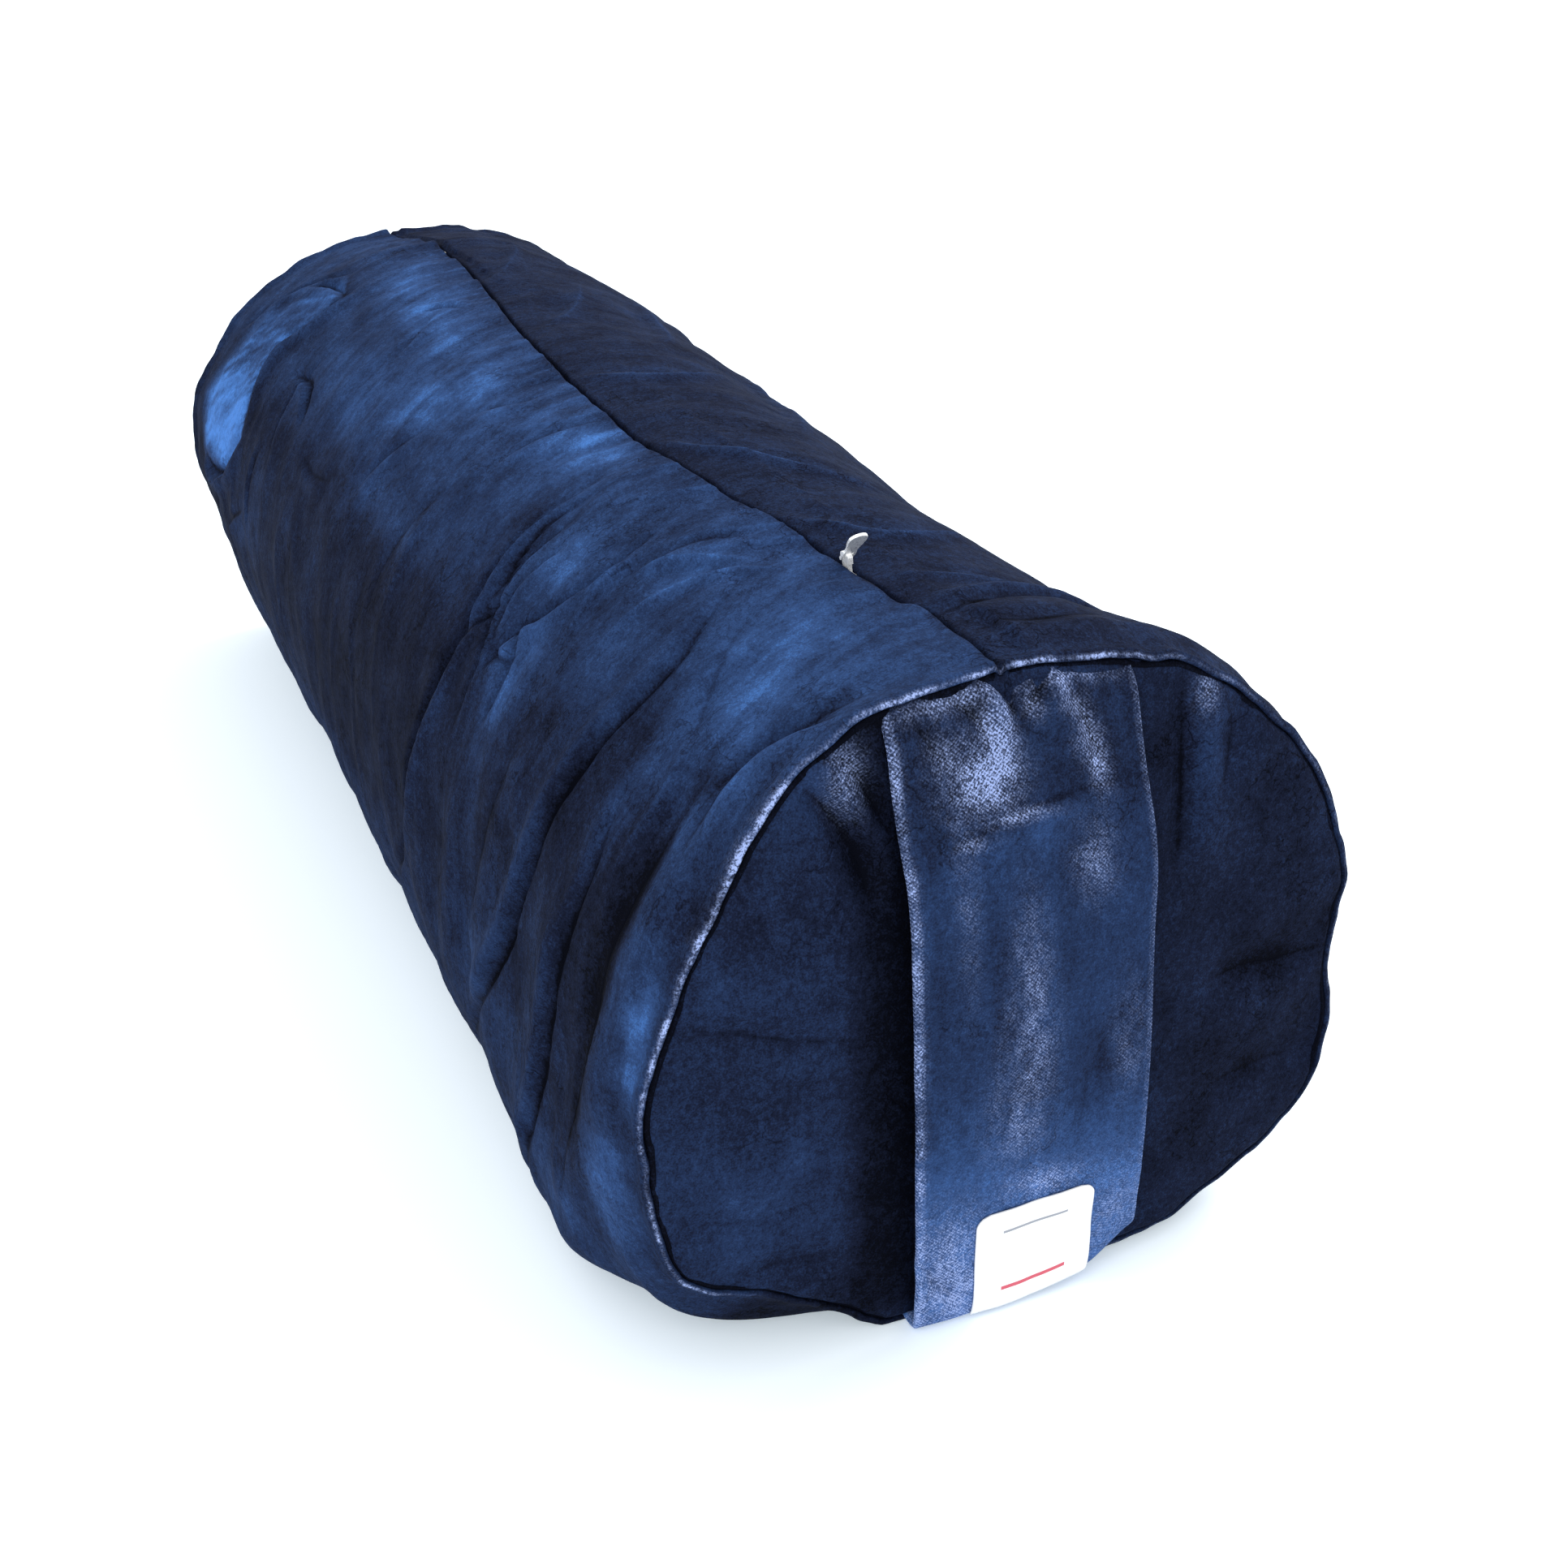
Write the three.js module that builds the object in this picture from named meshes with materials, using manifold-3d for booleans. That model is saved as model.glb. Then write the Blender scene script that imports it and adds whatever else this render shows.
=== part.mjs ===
// A round yoga and massage bolster: a velvet cover with an invisible zip and a carrying strap,
// an inner bag with a zip of its own, and the filling. Millimetres, +X along the length towards
// the carrying strap, +Z up, origin on the underside at the middle of the body.

import * as THREE from 'three';
import { mergeVertices } from 'three/addons/utils/BufferGeometryUtils.js';
import Module from 'manifold-3d';

// ---- driving dimensions ----
const LENGTH = 650;
const RADIUS = 118;
const HEIGHT = 208;
const CORNER = 36;
const GAP = 0.3;
const COVER = { shell: 2.0, flange: 12, flangeThickness: 1.6 };
const LINER = { shell: 1.0, flange: 10, flangeThickness: 0.8, clearance: 7.5, floor: 4.3 };
const LINER_END = { handle: 321.5, far: -315 };
const FILL = { clearance: 0.5, farRecess: 6.2 };

// The carrying strap over the handle end, and the label sewn on it.
const STRAP = { width: 78, thickness: 3, topY: -9, bottomY: 3, stations: 28, reach: 30 };
const LABEL = { width: 38, thickness: 0.5, top: 43, bottom: 3.5, corner: 4 };

// Both zips. Depths are measured down from the cloth's inner side.
const SLIDER = { length: 8, width: 6.4, plate: 0.9, below: 0.5 };
const POST = { length: 4, width: 0.7 };
const NECK = { length: 4.4, width: 1.2, top: 1.2 };
const COIL = { diameter: 1.3, offset: 1.3, depth: 2.4 };
const TAPE = { inner: 2.3, outer: 10, thickness: 0.4, depth: 2.3, overrun: 10 };
const STOP = { length: 2.5, width: 1.3, height: 1.5 };
const BRIDGE = { length: 5.6, width: 1.6, base: 0.6, top: 3.4, hole: 0.75, pivot: 2.1, round: 1.4 };
const PULL = { length: 16, width: 5.6, thickness: 0.9 };
const EYE = { pin: 0.42, width: 4.2, slot: 2.4, end: 3.4, rim: 0.5, swell: 4.6 };
const PULL_LIFT = 42;
const SLIT = { width: 2.4, past: 1.5 };
const COVER_ZIP = { closedX: 240, closedY: -14, openX: -226, openY: -3 };
const LINER_ZIP = { closedZ: 170, openZ: 45 };

const AXIS_HEIGHT = HEIGHT - RADIUS;
const END = LENGTH / 2;

// ---- materials ----
function finish(color, roughness, metalness = 0) {
  return new THREE.MeshStandardMaterial({ color, roughness, metalness });
}
const VELVET = finish(0x1c2c58, 0.7);
const TAPE_CLOTH = finish(0x161f3c, 0.85);
const NYLON = finish(0x18223f, 0.5);
const METAL = finish(0xd9dadd, 0.3, 0.9);
const WOVEN_WHITE = finish(0xf1f0ec, 0.75);
const COTTON = finish(0xe4dcc8, 0.9);
const HUSK = finish(0xb08a58, 0.95);

// ---- solids ----
const wasm = await Module();
wasm.setup();

function solid(geometry) {
  const bare = new THREE.BufferGeometry();
  bare.setAttribute('position', geometry.getAttribute('position').clone());
  if (geometry.index) bare.setIndex(geometry.index.clone());
  const merged = mergeVertices(bare, 1e-4);
  const vertProperties = new Float32Array(merged.getAttribute('position').array);
  const triVerts = new Uint32Array(merged.index.array);
  return new wasm.Manifold(new wasm.Mesh({ numProp: 3, vertProperties, triVerts }));
}

function geometryOf(manifold) {
  const mesh = manifold.getMesh();
  const geometry = new THREE.BufferGeometry();
  geometry.setAttribute('position', new THREE.BufferAttribute(mesh.vertProperties, 3));
  geometry.setIndex(new THREE.BufferAttribute(mesh.triVerts, 1));
  return geometry;
}

function join(...geometries) {
  return geometryOf(geometries.map(solid).reduce((all, next) => all.add(next)));
}

function common(geometry, other) {
  return geometryOf(solid(geometry).intersect(solid(other)));
}

function cut(geometry, ...tools) {
  return geometryOf(tools.map(solid).reduce((left, tool) => left.subtract(tool), solid(geometry)));
}

function block(x, y, z) {
  const size = [x, y, z].map(([low, high]) => high - low);
  const box = new THREE.BoxGeometry(...size);
  return box.translate((x[0] + x[1]) / 2, (y[0] + y[1]) / 2, (z[0] + z[1]) / 2);
}

function named(name, geometry, material) {
  const mesh = new THREE.Mesh(geometry, material);
  mesh.name = name;
  return mesh;
}

// ---- the round body section with a flat underside ----
// The upper arc keeps one centre for every layer, so nested layers stay parallel.
function section(radius, floor, corner) {
  const cornerZ = floor + corner;
  const cornerY = Math.sqrt((radius - corner) ** 2 - (AXIS_HEIGHT - cornerZ) ** 2);
  const turn = Math.atan2(cornerZ - AXIS_HEIGHT, cornerY);
  const points = [];
  const arc = (y, z, r, from, to, steps) => {
    for (let i = 0; i < steps; i++) {
      const angle = from + ((to - from) * i) / steps;
      points.push(new THREE.Vector2(y + r * Math.cos(angle), z + r * Math.sin(angle)));
    }
  };
  arc(cornerY, cornerZ, corner, -Math.PI / 2, turn, 6);
  arc(0, AXIS_HEIGHT, radius, turn, Math.PI - turn, 48);
  arc(-cornerY, cornerZ, corner, Math.PI - turn, 1.5 * Math.PI, 6);
  points.push(new THREE.Vector2(-cornerY, floor));
  return points;
}

// Extrudes a (y, z) outline along X from one end to the other.
function alongX(outline, hole, from, to) {
  const shape = new THREE.Shape(outline);
  if (hole) shape.holes.push(new THREE.Path(hole));
  const geometry = new THREE.ExtrudeGeometry(shape, { depth: to - from, bevelEnabled: false });
  const turn = new THREE.Matrix4().makeBasis(
    new THREE.Vector3(0, 1, 0),
    new THREE.Vector3(0, 0, 1),
    new THREE.Vector3(1, 0, 0),
  );
  return geometry.applyMatrix4(turn).translate(from, 0, 0);
}

function tube(radius, floor, corner, shell, from, to) {
  const outer = section(radius, floor, corner);
  const inner = section(radius - shell, floor + shell, corner - shell);
  return alongX(outer, inner, from, to);
}

// A round end panel whose edge is turned in along the body: side is +1 or -1, face its outer face.
function endPanel(radius, floor, corner, layer, face, side) {
  const ends = (depth) => [face - side * depth, face].sort((a, b) => a - b);
  const plate = alongX(section(radius, floor, corner), null, ...ends(layer.shell));
  const hem = tube(radius, floor, corner, layer.flangeThickness, ...ends(layer.flange));
  return join(plate, hem);
}

// ---- where a zip runs ----
// place(u, v, w) turns zip coordinates into the body's: u from the closed end (0) towards the
// open end (negative), v across, w out of the cloth. frame is the same at the closed end, as a
// matrix for the rigid pieces.
function coverSeamAngle(x) {
  const along = (x - COVER_ZIP.openX) / (COVER_ZIP.closedX - COVER_ZIP.openX);
  return Math.asin(THREE.MathUtils.lerp(COVER_ZIP.openY, COVER_ZIP.closedY, along) / RADIUS);
}

function onCover(x, v, w) {
  const angle = coverSeamAngle(x) + v / RADIUS;
  const r = RADIUS + w;
  return new THREE.Vector3(x, r * Math.sin(angle), AXIS_HEIGHT + r * Math.cos(angle));
}

function coverZipPath() {
  const closed = onCover(COVER_ZIP.closedX, 0, 0);
  const open = onCover(COVER_ZIP.openX, 0, 0);
  const along = closed.clone().sub(open).normalize();
  const middle = (coverSeamAngle(COVER_ZIP.closedX) + coverSeamAngle(COVER_ZIP.openX)) / 2;
  const out = new THREE.Vector3(0, Math.sin(middle), Math.cos(middle));
  const across = out.clone().cross(along).normalize();
  const frame = new THREE.Matrix4().makeBasis(along, across, along.clone().cross(across));
  frame.setPosition(closed);
  return {
    name: 'zip',
    shell: COVER.shell,
    travel: closed.distanceTo(open),
    place: (u, v, w) => onCover(COVER_ZIP.closedX + u * along.x, v, w),
    frame,
  };
}

function linerZipPath() {
  const face = LINER_END.far;
  const frame = new THREE.Matrix4().makeBasis(
    new THREE.Vector3(0, 0, 1),
    new THREE.Vector3(0, 1, 0),
    new THREE.Vector3(-1, 0, 0),
  );
  frame.setPosition(face, 0, LINER_ZIP.closedZ);
  return {
    name: 'liner_zip',
    shell: LINER.shell,
    travel: LINER_ZIP.closedZ - LINER_ZIP.openZ,
    place: (u, v, w) => new THREE.Vector3(face - w, v, LINER_ZIP.closedZ + u),
    frame,
  };
}

// The slit that the slider's neck runs in.
function zipSlit(path) {
  const ends = [-path.travel - SLIDER.length / 2, SLIDER.length / 2];
  const across = [-SLIT.width / 2, SLIT.width / 2];
  const slit = block(ends, across, [-path.shell - SLIT.past, SLIT.past]);
  return slit.applyMatrix4(path.frame);
}

// ---- zip pieces ----
// A strip laid along the zip: steps follow the cloth, and outline is its (v, w) section.
function strip(path, outline, from, to, steps) {
  const shape = new THREE.Shape(outline.map(([v, w]) => new THREE.Vector2(v, w)));
  const options = { depth: to - from, steps, bevelEnabled: false };
  const geometry = new THREE.ExtrudeGeometry(shape, options);
  const position = geometry.getAttribute('position');
  for (let i = 0; i < position.count; i++) {
    const point = path.place(from + position.getZ(i), position.getX(i), position.getY(i));
    position.setXYZ(i, point.x, point.y, point.z);
  }
  return geometry;
}

function rounded(centreV, centreW, diameter, sides) {
  return Array.from({ length: sides }, (_, i) => {
    const angle = ((i + 0.5) * 2 * Math.PI) / sides;
    const r = diameter / 2;
    return [centreV + r * Math.cos(angle), centreW + r * Math.sin(angle)];
  });
}

function zipTape(path, side) {
  const top = -path.shell - TAPE.depth;
  const edges = [TAPE.inner * side, TAPE.outer * side].sort((a, b) => a - b);
  const outline = [
    [edges[0], top - TAPE.thickness],
    [edges[1], top - TAPE.thickness],
    [edges[1], top],
    [edges[0], top],
  ];
  return strip(path, outline, -path.travel - TAPE.overrun, TAPE.overrun, 12);
}

function zipCoil(path, side) {
  const outline = rounded(COIL.offset * side, -path.shell - COIL.depth, COIL.diameter, 8);
  const reach = SLIDER.length / 2 + GAP;
  return strip(path, outline, -path.travel - reach, reach, 12);
}

// A top stop sits at the end of one coil; the bottom stop joins both.
function zipStop(path, v, atBottom) {
  const reach = SLIDER.length / 2 + 2 * GAP;
  const start = atBottom ? -path.travel - reach - STOP.length : reach;
  const middle = -path.shell - COIL.depth;
  const stop = block(
    [start, start + STOP.length],
    v,
    [middle - STOP.height / 2, middle + STOP.height / 2],
  );
  if (!atBottom) return stop.applyMatrix4(path.frame);
  const seat = path.place(-path.travel, 0, 0);
  const straight = new THREE.Vector3(-path.travel, 0, 0).applyMatrix4(path.frame);
  return stop.applyMatrix4(path.frame).translate(0, seat.y - straight.y, seat.z - straight.z);
}

function upright(piece, low, high) {
  const half = [-piece.length / 2, piece.length / 2];
  return block(half, [-piece.width / 2, piece.width / 2], [low, high]);
}

// Two wings joined by a post between the coils, and a neck through the slit that carries the
// bridge for the pull.
function zipSlider(path) {
  const half = [-SLIDER.length / 2, SLIDER.length / 2];
  const sides = [-SLIDER.width / 2, SLIDER.width / 2];
  const topWing = -path.shell - SLIDER.below;
  const coilTop = -path.shell - COIL.depth + COIL.diameter / 2;
  const coilBottom = coilTop - COIL.diameter;
  const lowerWing = coilBottom - SLIDER.below;
  const wings = [
    block(half, sides, [topWing - SLIDER.plate, topWing]),
    block(half, sides, [lowerWing - SLIDER.plate, lowerWing]),
  ];
  const post = upright(POST, lowerWing - SLIDER.plate / 2, topWing);
  const neck = upright(NECK, topWing - SLIDER.plate / 2, NECK.top);
  const arch = new THREE.Shape();
  const reach = BRIDGE.length / 2;
  arch.moveTo(-reach, BRIDGE.base);
  arch.lineTo(reach, BRIDGE.base);
  arch.lineTo(reach, BRIDGE.pivot);
  arch.quadraticCurveTo(reach, BRIDGE.top, reach - BRIDGE.round, BRIDGE.top);
  arch.lineTo(BRIDGE.round - reach, BRIDGE.top);
  arch.quadraticCurveTo(-reach, BRIDGE.top, -reach, BRIDGE.pivot);
  const eye = new THREE.Path();
  eye.absarc(0, BRIDGE.pivot, BRIDGE.hole, 0, 2 * Math.PI, true);
  arch.holes.push(eye);
  const bridge = acrossY(arch, BRIDGE.width, 6);
  return join(...wings, post, neck, bridge).applyMatrix4(path.frame);
}

// Extrudes an (x, z) shape across Y, centred.
function acrossY(shape, width, curveSegments) {
  const options = { depth: width, bevelEnabled: false, curveSegments };
  const geometry = new THREE.ExtrudeGeometry(shape, options);
  return geometry.rotateX(Math.PI / 2).translate(0, width / 2, 0);
}

// A drop-shaped tab whose end pin turns in the bridge's eye. It points along +X of the pivot's
// frame when flat.
function pullTab() {
  const drop = new THREE.Shape();
  const eyeHalf = EYE.width / 2;
  const slotHalf = EYE.slot / 2;
  const neckEnd = EYE.end + EYE.rim;
  const tip = PULL.width / 2;
  const tipCentre = PULL.length - tip;
  drop.moveTo(-EYE.pin, -eyeHalf);
  drop.lineTo(neckEnd, -eyeHalf);
  drop.bezierCurveTo(neckEnd + EYE.swell / 2, -slotHalf, neckEnd + EYE.swell, -tip, tipCentre, -tip);
  drop.absarc(tipCentre, 0, tip, -Math.PI / 2, Math.PI / 2, false);
  drop.bezierCurveTo(neckEnd + EYE.swell, tip, neckEnd + EYE.swell / 2, slotHalf, neckEnd, eyeHalf);
  drop.lineTo(-EYE.pin, eyeHalf);
  drop.lineTo(-EYE.pin, slotHalf);
  drop.lineTo(EYE.end, slotHalf);
  drop.lineTo(EYE.end, -slotHalf);
  drop.lineTo(-EYE.pin, -slotHalf);
  const options = { depth: PULL.thickness, bevelEnabled: false, curveSegments: 10 };
  const plate = new THREE.ExtrudeGeometry(drop, options).translate(0, 0, -PULL.thickness / 2);
  const pin = new THREE.CylinderGeometry(EYE.pin, EYE.pin, EYE.width, 12);
  return join(plate, pin);
}

function zipPull(path, elevation) {
  const pivot = new THREE.Matrix4().makeTranslation(0, 0, BRIDGE.pivot);
  const swing = new THREE.Matrix4().makeRotationY(-THREE.MathUtils.degToRad(elevation));
  return pullTab().applyMatrix4(path.frame.clone().multiply(pivot).multiply(swing));
}

function zip(path, elevation) {
  const inner = COIL.offset - STOP.width / 2;
  const outer = COIL.offset + STOP.width / 2;
  return [
    named(`${path.name}_tape_left`, zipTape(path, -1), TAPE_CLOTH),
    named(`${path.name}_tape_right`, zipTape(path, 1), TAPE_CLOTH),
    named(`${path.name}_coil_left`, zipCoil(path, -1), NYLON),
    named(`${path.name}_coil_right`, zipCoil(path, 1), NYLON),
    named(`${path.name}_top_stop_left`, zipStop(path, [-outer, -inner], false), METAL),
    named(`${path.name}_top_stop_right`, zipStop(path, [inner, outer], false), METAL),
    named(`${path.name}_bottom_stop`, zipStop(path, [-outer, outer], true), METAL),
    named(`${path.name}_slider`, zipSlider(path), METAL),
    named(`${path.name}_pull`, zipPull(path, elevation), METAL),
  ];
}

// ---- carrying strap ----
// The strap's middle line in (x, z), from the top seam down to the bottom seam.
const STRAP_LINE = new THREE.SplineCurve([
  new THREE.Vector2(END + 1.9, HEIGHT),
  new THREE.Vector2(END + 6, 190),
  new THREE.Vector2(END + 12.5, 155),
  new THREE.Vector2(END + 15, 110),
  new THREE.Vector2(END + 13.5, 65),
  new THREE.Vector2(END + 9.5, 25),
  new THREE.Vector2(END + 6.5, 6),
  new THREE.Vector2(END + 1.9, 2.2),
]);

// The band between two offsets from the strap's middle line, between two shares of its length.
function strapBand(inner, outer, from, to, stations) {
  const side = (offset) => Array.from({ length: stations + 1 }, (_, i) => {
    const at = from + ((to - from) * i) / stations;
    const tangent = STRAP_LINE.getTangentAt(at);
    const normal = new THREE.Vector2(-tangent.y, tangent.x).multiplyScalar(offset);
    return STRAP_LINE.getPointAt(at).add(normal);
  });
  return new THREE.Shape([...side(inner), ...side(outer).reverse()]);
}

// The strap leans a little: its top is sewn further to one side than its bottom.
function leaned(geometry) {
  const lean = (STRAP.topY - STRAP.bottomY) / HEIGHT;
  const shear = new THREE.Matrix4().makeShear(0, 0, 0, 0, 0, lean);
  return geometry.applyMatrix4(shear).translate(0, STRAP.bottomY, 0);
}

// The strap's ends follow the round rim that they are sewn into.
function handleStrap() {
  const half = STRAP.thickness / 2;
  const band = strapBand(-half, half, 0, 1, STRAP.stations);
  const rim = alongX(section(RADIUS, 0, CORNER), null, END, END + STRAP.reach);
  return common(leaned(acrossY(band, STRAP.width, 1)), rim);
}

// The strap's share of length at a height on its lower, outer run.
function strapShareAt(z) {
  let share = 0.5;
  while (STRAP_LINE.getPointAt(share).y > z) share += 0.002;
  return share;
}

// What is cut off the label's upper corner on one side, to round it.
function labelCorner(side) {
  const edge = LABEL.width / 2;
  const r = LABEL.corner;
  const round = Array.from({ length: 7 }, (_, i) => {
    const angle = (i * Math.PI) / 12;
    return [edge - r + r * Math.sin(angle), LABEL.top - r + r * Math.cos(angle)];
  });
  const past = [edge + r, LABEL.top + r];
  const points = [...round, [past[0], LABEL.top - r], past, [edge - r, past[1]]];
  const outline = points.map(([y, z]) => new THREE.Vector2(side * y, z));
  return alongX(outline, null, END, END + STRAP.reach);
}

function handleLabel() {
  const from = strapShareAt(LABEL.top);
  const to = strapShareAt(LABEL.bottom);
  const inner = STRAP.thickness / 2 + GAP;
  const band = strapBand(inner, inner + LABEL.thickness, from, to, 10);
  const sheet = acrossY(band, LABEL.width, 1);
  return leaned(cut(sheet, labelCorner(-1), labelCorner(1)));
}

// ---- cover, inner bag and filling ----
function cover() {
  const path = coverZipPath();
  const body = cut(tube(RADIUS, 0, CORNER, COVER.shell, -END, END), zipSlit(path));
  const inset = COVER.shell + GAP;
  const panel = [RADIUS - inset, inset, CORNER - inset, COVER];
  return [
    named('cover_body', body, VELVET),
    named('cover_end_handle', endPanel(...panel, END, 1), VELVET),
    named('cover_end_far', endPanel(...panel, -END, -1), VELVET),
    named('handle_strap', handleStrap(), VELVET),
    named('handle_label', handleLabel(), WOVEN_WHITE),
    ...zip(path, PULL_LIFT),
  ];
}

function liner() {
  const path = linerZipPath();
  const radius = RADIUS - LINER.clearance;
  const body = tube(radius, LINER.floor, CORNER, LINER.shell, LINER_END.far, LINER_END.handle);
  const inset = LINER.shell + GAP;
  const panel = [radius - inset, LINER.floor + inset, CORNER - inset, LINER];
  const farPanel = cut(endPanel(...panel, LINER_END.far, -1), zipSlit(path));
  return [
    named('liner_body', body, COTTON),
    named('liner_end_handle', endPanel(...panel, LINER_END.handle, 1), COTTON),
    named('liner_end_far', farPanel, COTTON),
    ...zip(path, 180),
  ];
}

function filling() {
  const inset = LINER.shell + GAP + LINER.flangeThickness + FILL.clearance;
  const radius = RADIUS - LINER.clearance - inset;
  const outline = section(radius, LINER.floor + inset, CORNER - inset);
  const from = LINER_END.far + FILL.farRecess;
  const to = LINER_END.handle - LINER.shell - FILL.clearance;
  return named('filling', alongX(outline, null, from, to), HUSK);
}

const bolster = new THREE.Group();
bolster.add(...cover(), ...liner(), filling());

export default bolster;
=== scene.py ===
"""Looks for the velvet bolster: cover, strap, label, both zips, inner bag and filling.

Shapes are worked out in millimetres in the frame's axes and turned into metres when a mesh is
made. On the cover, u is the place along X, and w is the arc length round the section from the
top, negative towards -Y.
"""

import math

import bmesh
import bpy
import numpy as np
from mathutils import Matrix, Vector


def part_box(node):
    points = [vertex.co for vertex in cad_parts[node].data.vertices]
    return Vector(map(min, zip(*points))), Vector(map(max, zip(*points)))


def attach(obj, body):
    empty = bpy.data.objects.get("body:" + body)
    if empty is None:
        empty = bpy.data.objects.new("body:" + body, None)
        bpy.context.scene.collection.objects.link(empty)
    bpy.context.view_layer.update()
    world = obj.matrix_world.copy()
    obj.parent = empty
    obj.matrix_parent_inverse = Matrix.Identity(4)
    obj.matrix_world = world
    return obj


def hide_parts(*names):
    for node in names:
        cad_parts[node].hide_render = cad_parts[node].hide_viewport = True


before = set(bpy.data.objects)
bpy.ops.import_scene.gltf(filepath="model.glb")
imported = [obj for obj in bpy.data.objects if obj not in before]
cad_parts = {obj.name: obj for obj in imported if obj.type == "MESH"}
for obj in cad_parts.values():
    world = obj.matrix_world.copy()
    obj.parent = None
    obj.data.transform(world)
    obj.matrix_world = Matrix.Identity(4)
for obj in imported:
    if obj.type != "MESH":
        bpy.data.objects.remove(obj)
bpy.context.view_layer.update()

MM = 0.001


# ---------------------------------------------------------------- sizes from the frame
def span(node):
    """A CAD node's lowest and highest corners, in millimetres."""
    low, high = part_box(node)
    return np.array(low) / MM, np.array(high) / MM


BODY_HIGH = span("cover_body")[1]
END = BODY_HIGH[0]
RADIUS = 118.0  # of the round part of the section
HEIGHT = BODY_HIGH[2]
AXIS_Z = HEIGHT - RADIUS
# Where the cover's zip slider stands when it is closed and when it is open.
ZIP_CLOSED_X = 240.0
ZIP_OPEN_X = -226.0


# ---------------------------------------------------------------- small maths
def smooth(x, low, high):
    """0 below low, 1 above high, and an even S between them."""
    t = np.clip((x - low) / (high - low), 0.0, 1.0)
    return t * t * (3.0 - 2.0 * t)


def bell(x, middle, width):
    return np.exp(-(((x - middle) / width) ** 2))


def lattice(u, v, cell_u, cell_v, seed):
    """Smooth noise from -1 to 1 with cells of the given size."""
    size = 64
    values = np.random.default_rng(seed).uniform(-1.0, 1.0, (size, size))
    a, b = u / cell_u + 1000.0, v / cell_v + 1000.0
    i, j = np.floor(a).astype(int), np.floor(b).astype(int)
    s, t = a - i, b - j
    s = s * s * s * (s * (s * 6.0 - 15.0) + 10.0)
    t = t * t * t * (t * (t * 6.0 - 15.0) + 10.0)
    i, j = i % size, j % size
    k, m = (i + 1) % size, (j + 1) % size
    low = values[i, j] * (1.0 - s) + values[k, j] * s
    high = values[i, m] * (1.0 - s) + values[k, m] * s
    return low * (1.0 - t) + high * t


def layered(u, v, cell_u, cell_v, seed, layers=3, fade=0.5):
    total, strength = 0.0, 1.0
    for n in range(layers):
        scale = 2.0**n
        total = total + strength * lattice(u, v, cell_u / scale, cell_v / scale, seed + n)
        strength *= fade
    return total / sum(fade**n for n in range(layers))


def ridged(u, v, cell_u, cell_v, seed):
    """Narrow raised lines, 0 to 1, such as cloth makes where it buckles."""
    line = 1.0 - np.abs(lattice(u, v, cell_u, cell_v, seed))
    return np.clip(line, 0.0, 1.0) ** 4


def curve_through(points, steps=60):
    """Even points along a smooth line through a few points."""
    p = np.array(points, float)
    p = np.vstack([2 * p[0] - p[1], p, 2 * p[-1] - p[-2]])
    out = []
    for i in range(1, len(p) - 2):
        t = np.linspace(0.0, 1.0, 12, endpoint=False)[:, None]
        a, b, c, d = p[i - 1], p[i], p[i + 1], p[i + 2]
        out.append(
            0.5 * (2 * b + (c - a) * t + (2 * a - 5 * b + 4 * c - d) * t**2
                   + (3 * b - a - 3 * c + d) * t**3)
        )
    line = np.vstack(out + [p[-2][None]])
    along = np.concatenate([[0], np.cumsum(np.linalg.norm(np.diff(line, axis=0), axis=1))])
    even = np.linspace(0, along[-1], steps)
    return np.stack([np.interp(even, along, line[:, k]) for k in range(line.shape[1])], axis=1)


def near_line(u, w, points):
    """Distance, side (-1 or 1) and share of the way along, from each point to a drawn line."""
    line = curve_through(points)
    best = np.full(u.shape, 1e9)
    side, share = np.zeros(u.shape), np.zeros(u.shape)
    for i in range(len(line) - 1):
        a, d = line[i], line[i + 1] - line[i]
        t = np.clip(((u - a[0]) * d[0] + (w - a[1]) * d[1]) / (d @ d), 0.0, 1.0)
        du, dw = u - a[0] - t * d[0], w - a[1] - t * d[1]
        far = np.hypot(du, dw)
        closer = far < best
        best = np.where(closer, far, best)
        side = np.where(closer, np.sign(d[0] * dw - d[1] * du), side)
        share = np.where(closer, (i + t) / (len(line) - 1), share)
    return best, side, share


def crease(u, w, points, width):
    """A drawn fold: strength of its valley and of the roll beside it, signed distance and taper."""
    reach = 5.0 * width + 8.0
    line = np.array(points, float)
    low, high = line.min(0) - reach, line.max(0) + reach
    near = (u > low[0]) & (u < high[0]) & (w > low[1]) & (w < high[1])
    valley, roll, taper = np.zeros(u.shape), np.zeros(u.shape), np.zeros(u.shape)
    signed = np.full(u.shape, 1e3)
    if near.any():
        far, side, share = near_line(u[near], w[near], points)
        ends = np.sin(np.pi * np.clip(share, 0.02, 0.98)) ** 0.7
        off = far * np.where(side == 0, 1.0, side)
        valley[near] = ends * np.exp(-((far / width) ** 2))
        roll[near] = ends * np.exp(-(((off - 2.2 * width) / (1.8 * width)) ** 2))
        signed[near], taper[near] = off, ends
    return valley, roll, signed, taper


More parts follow.
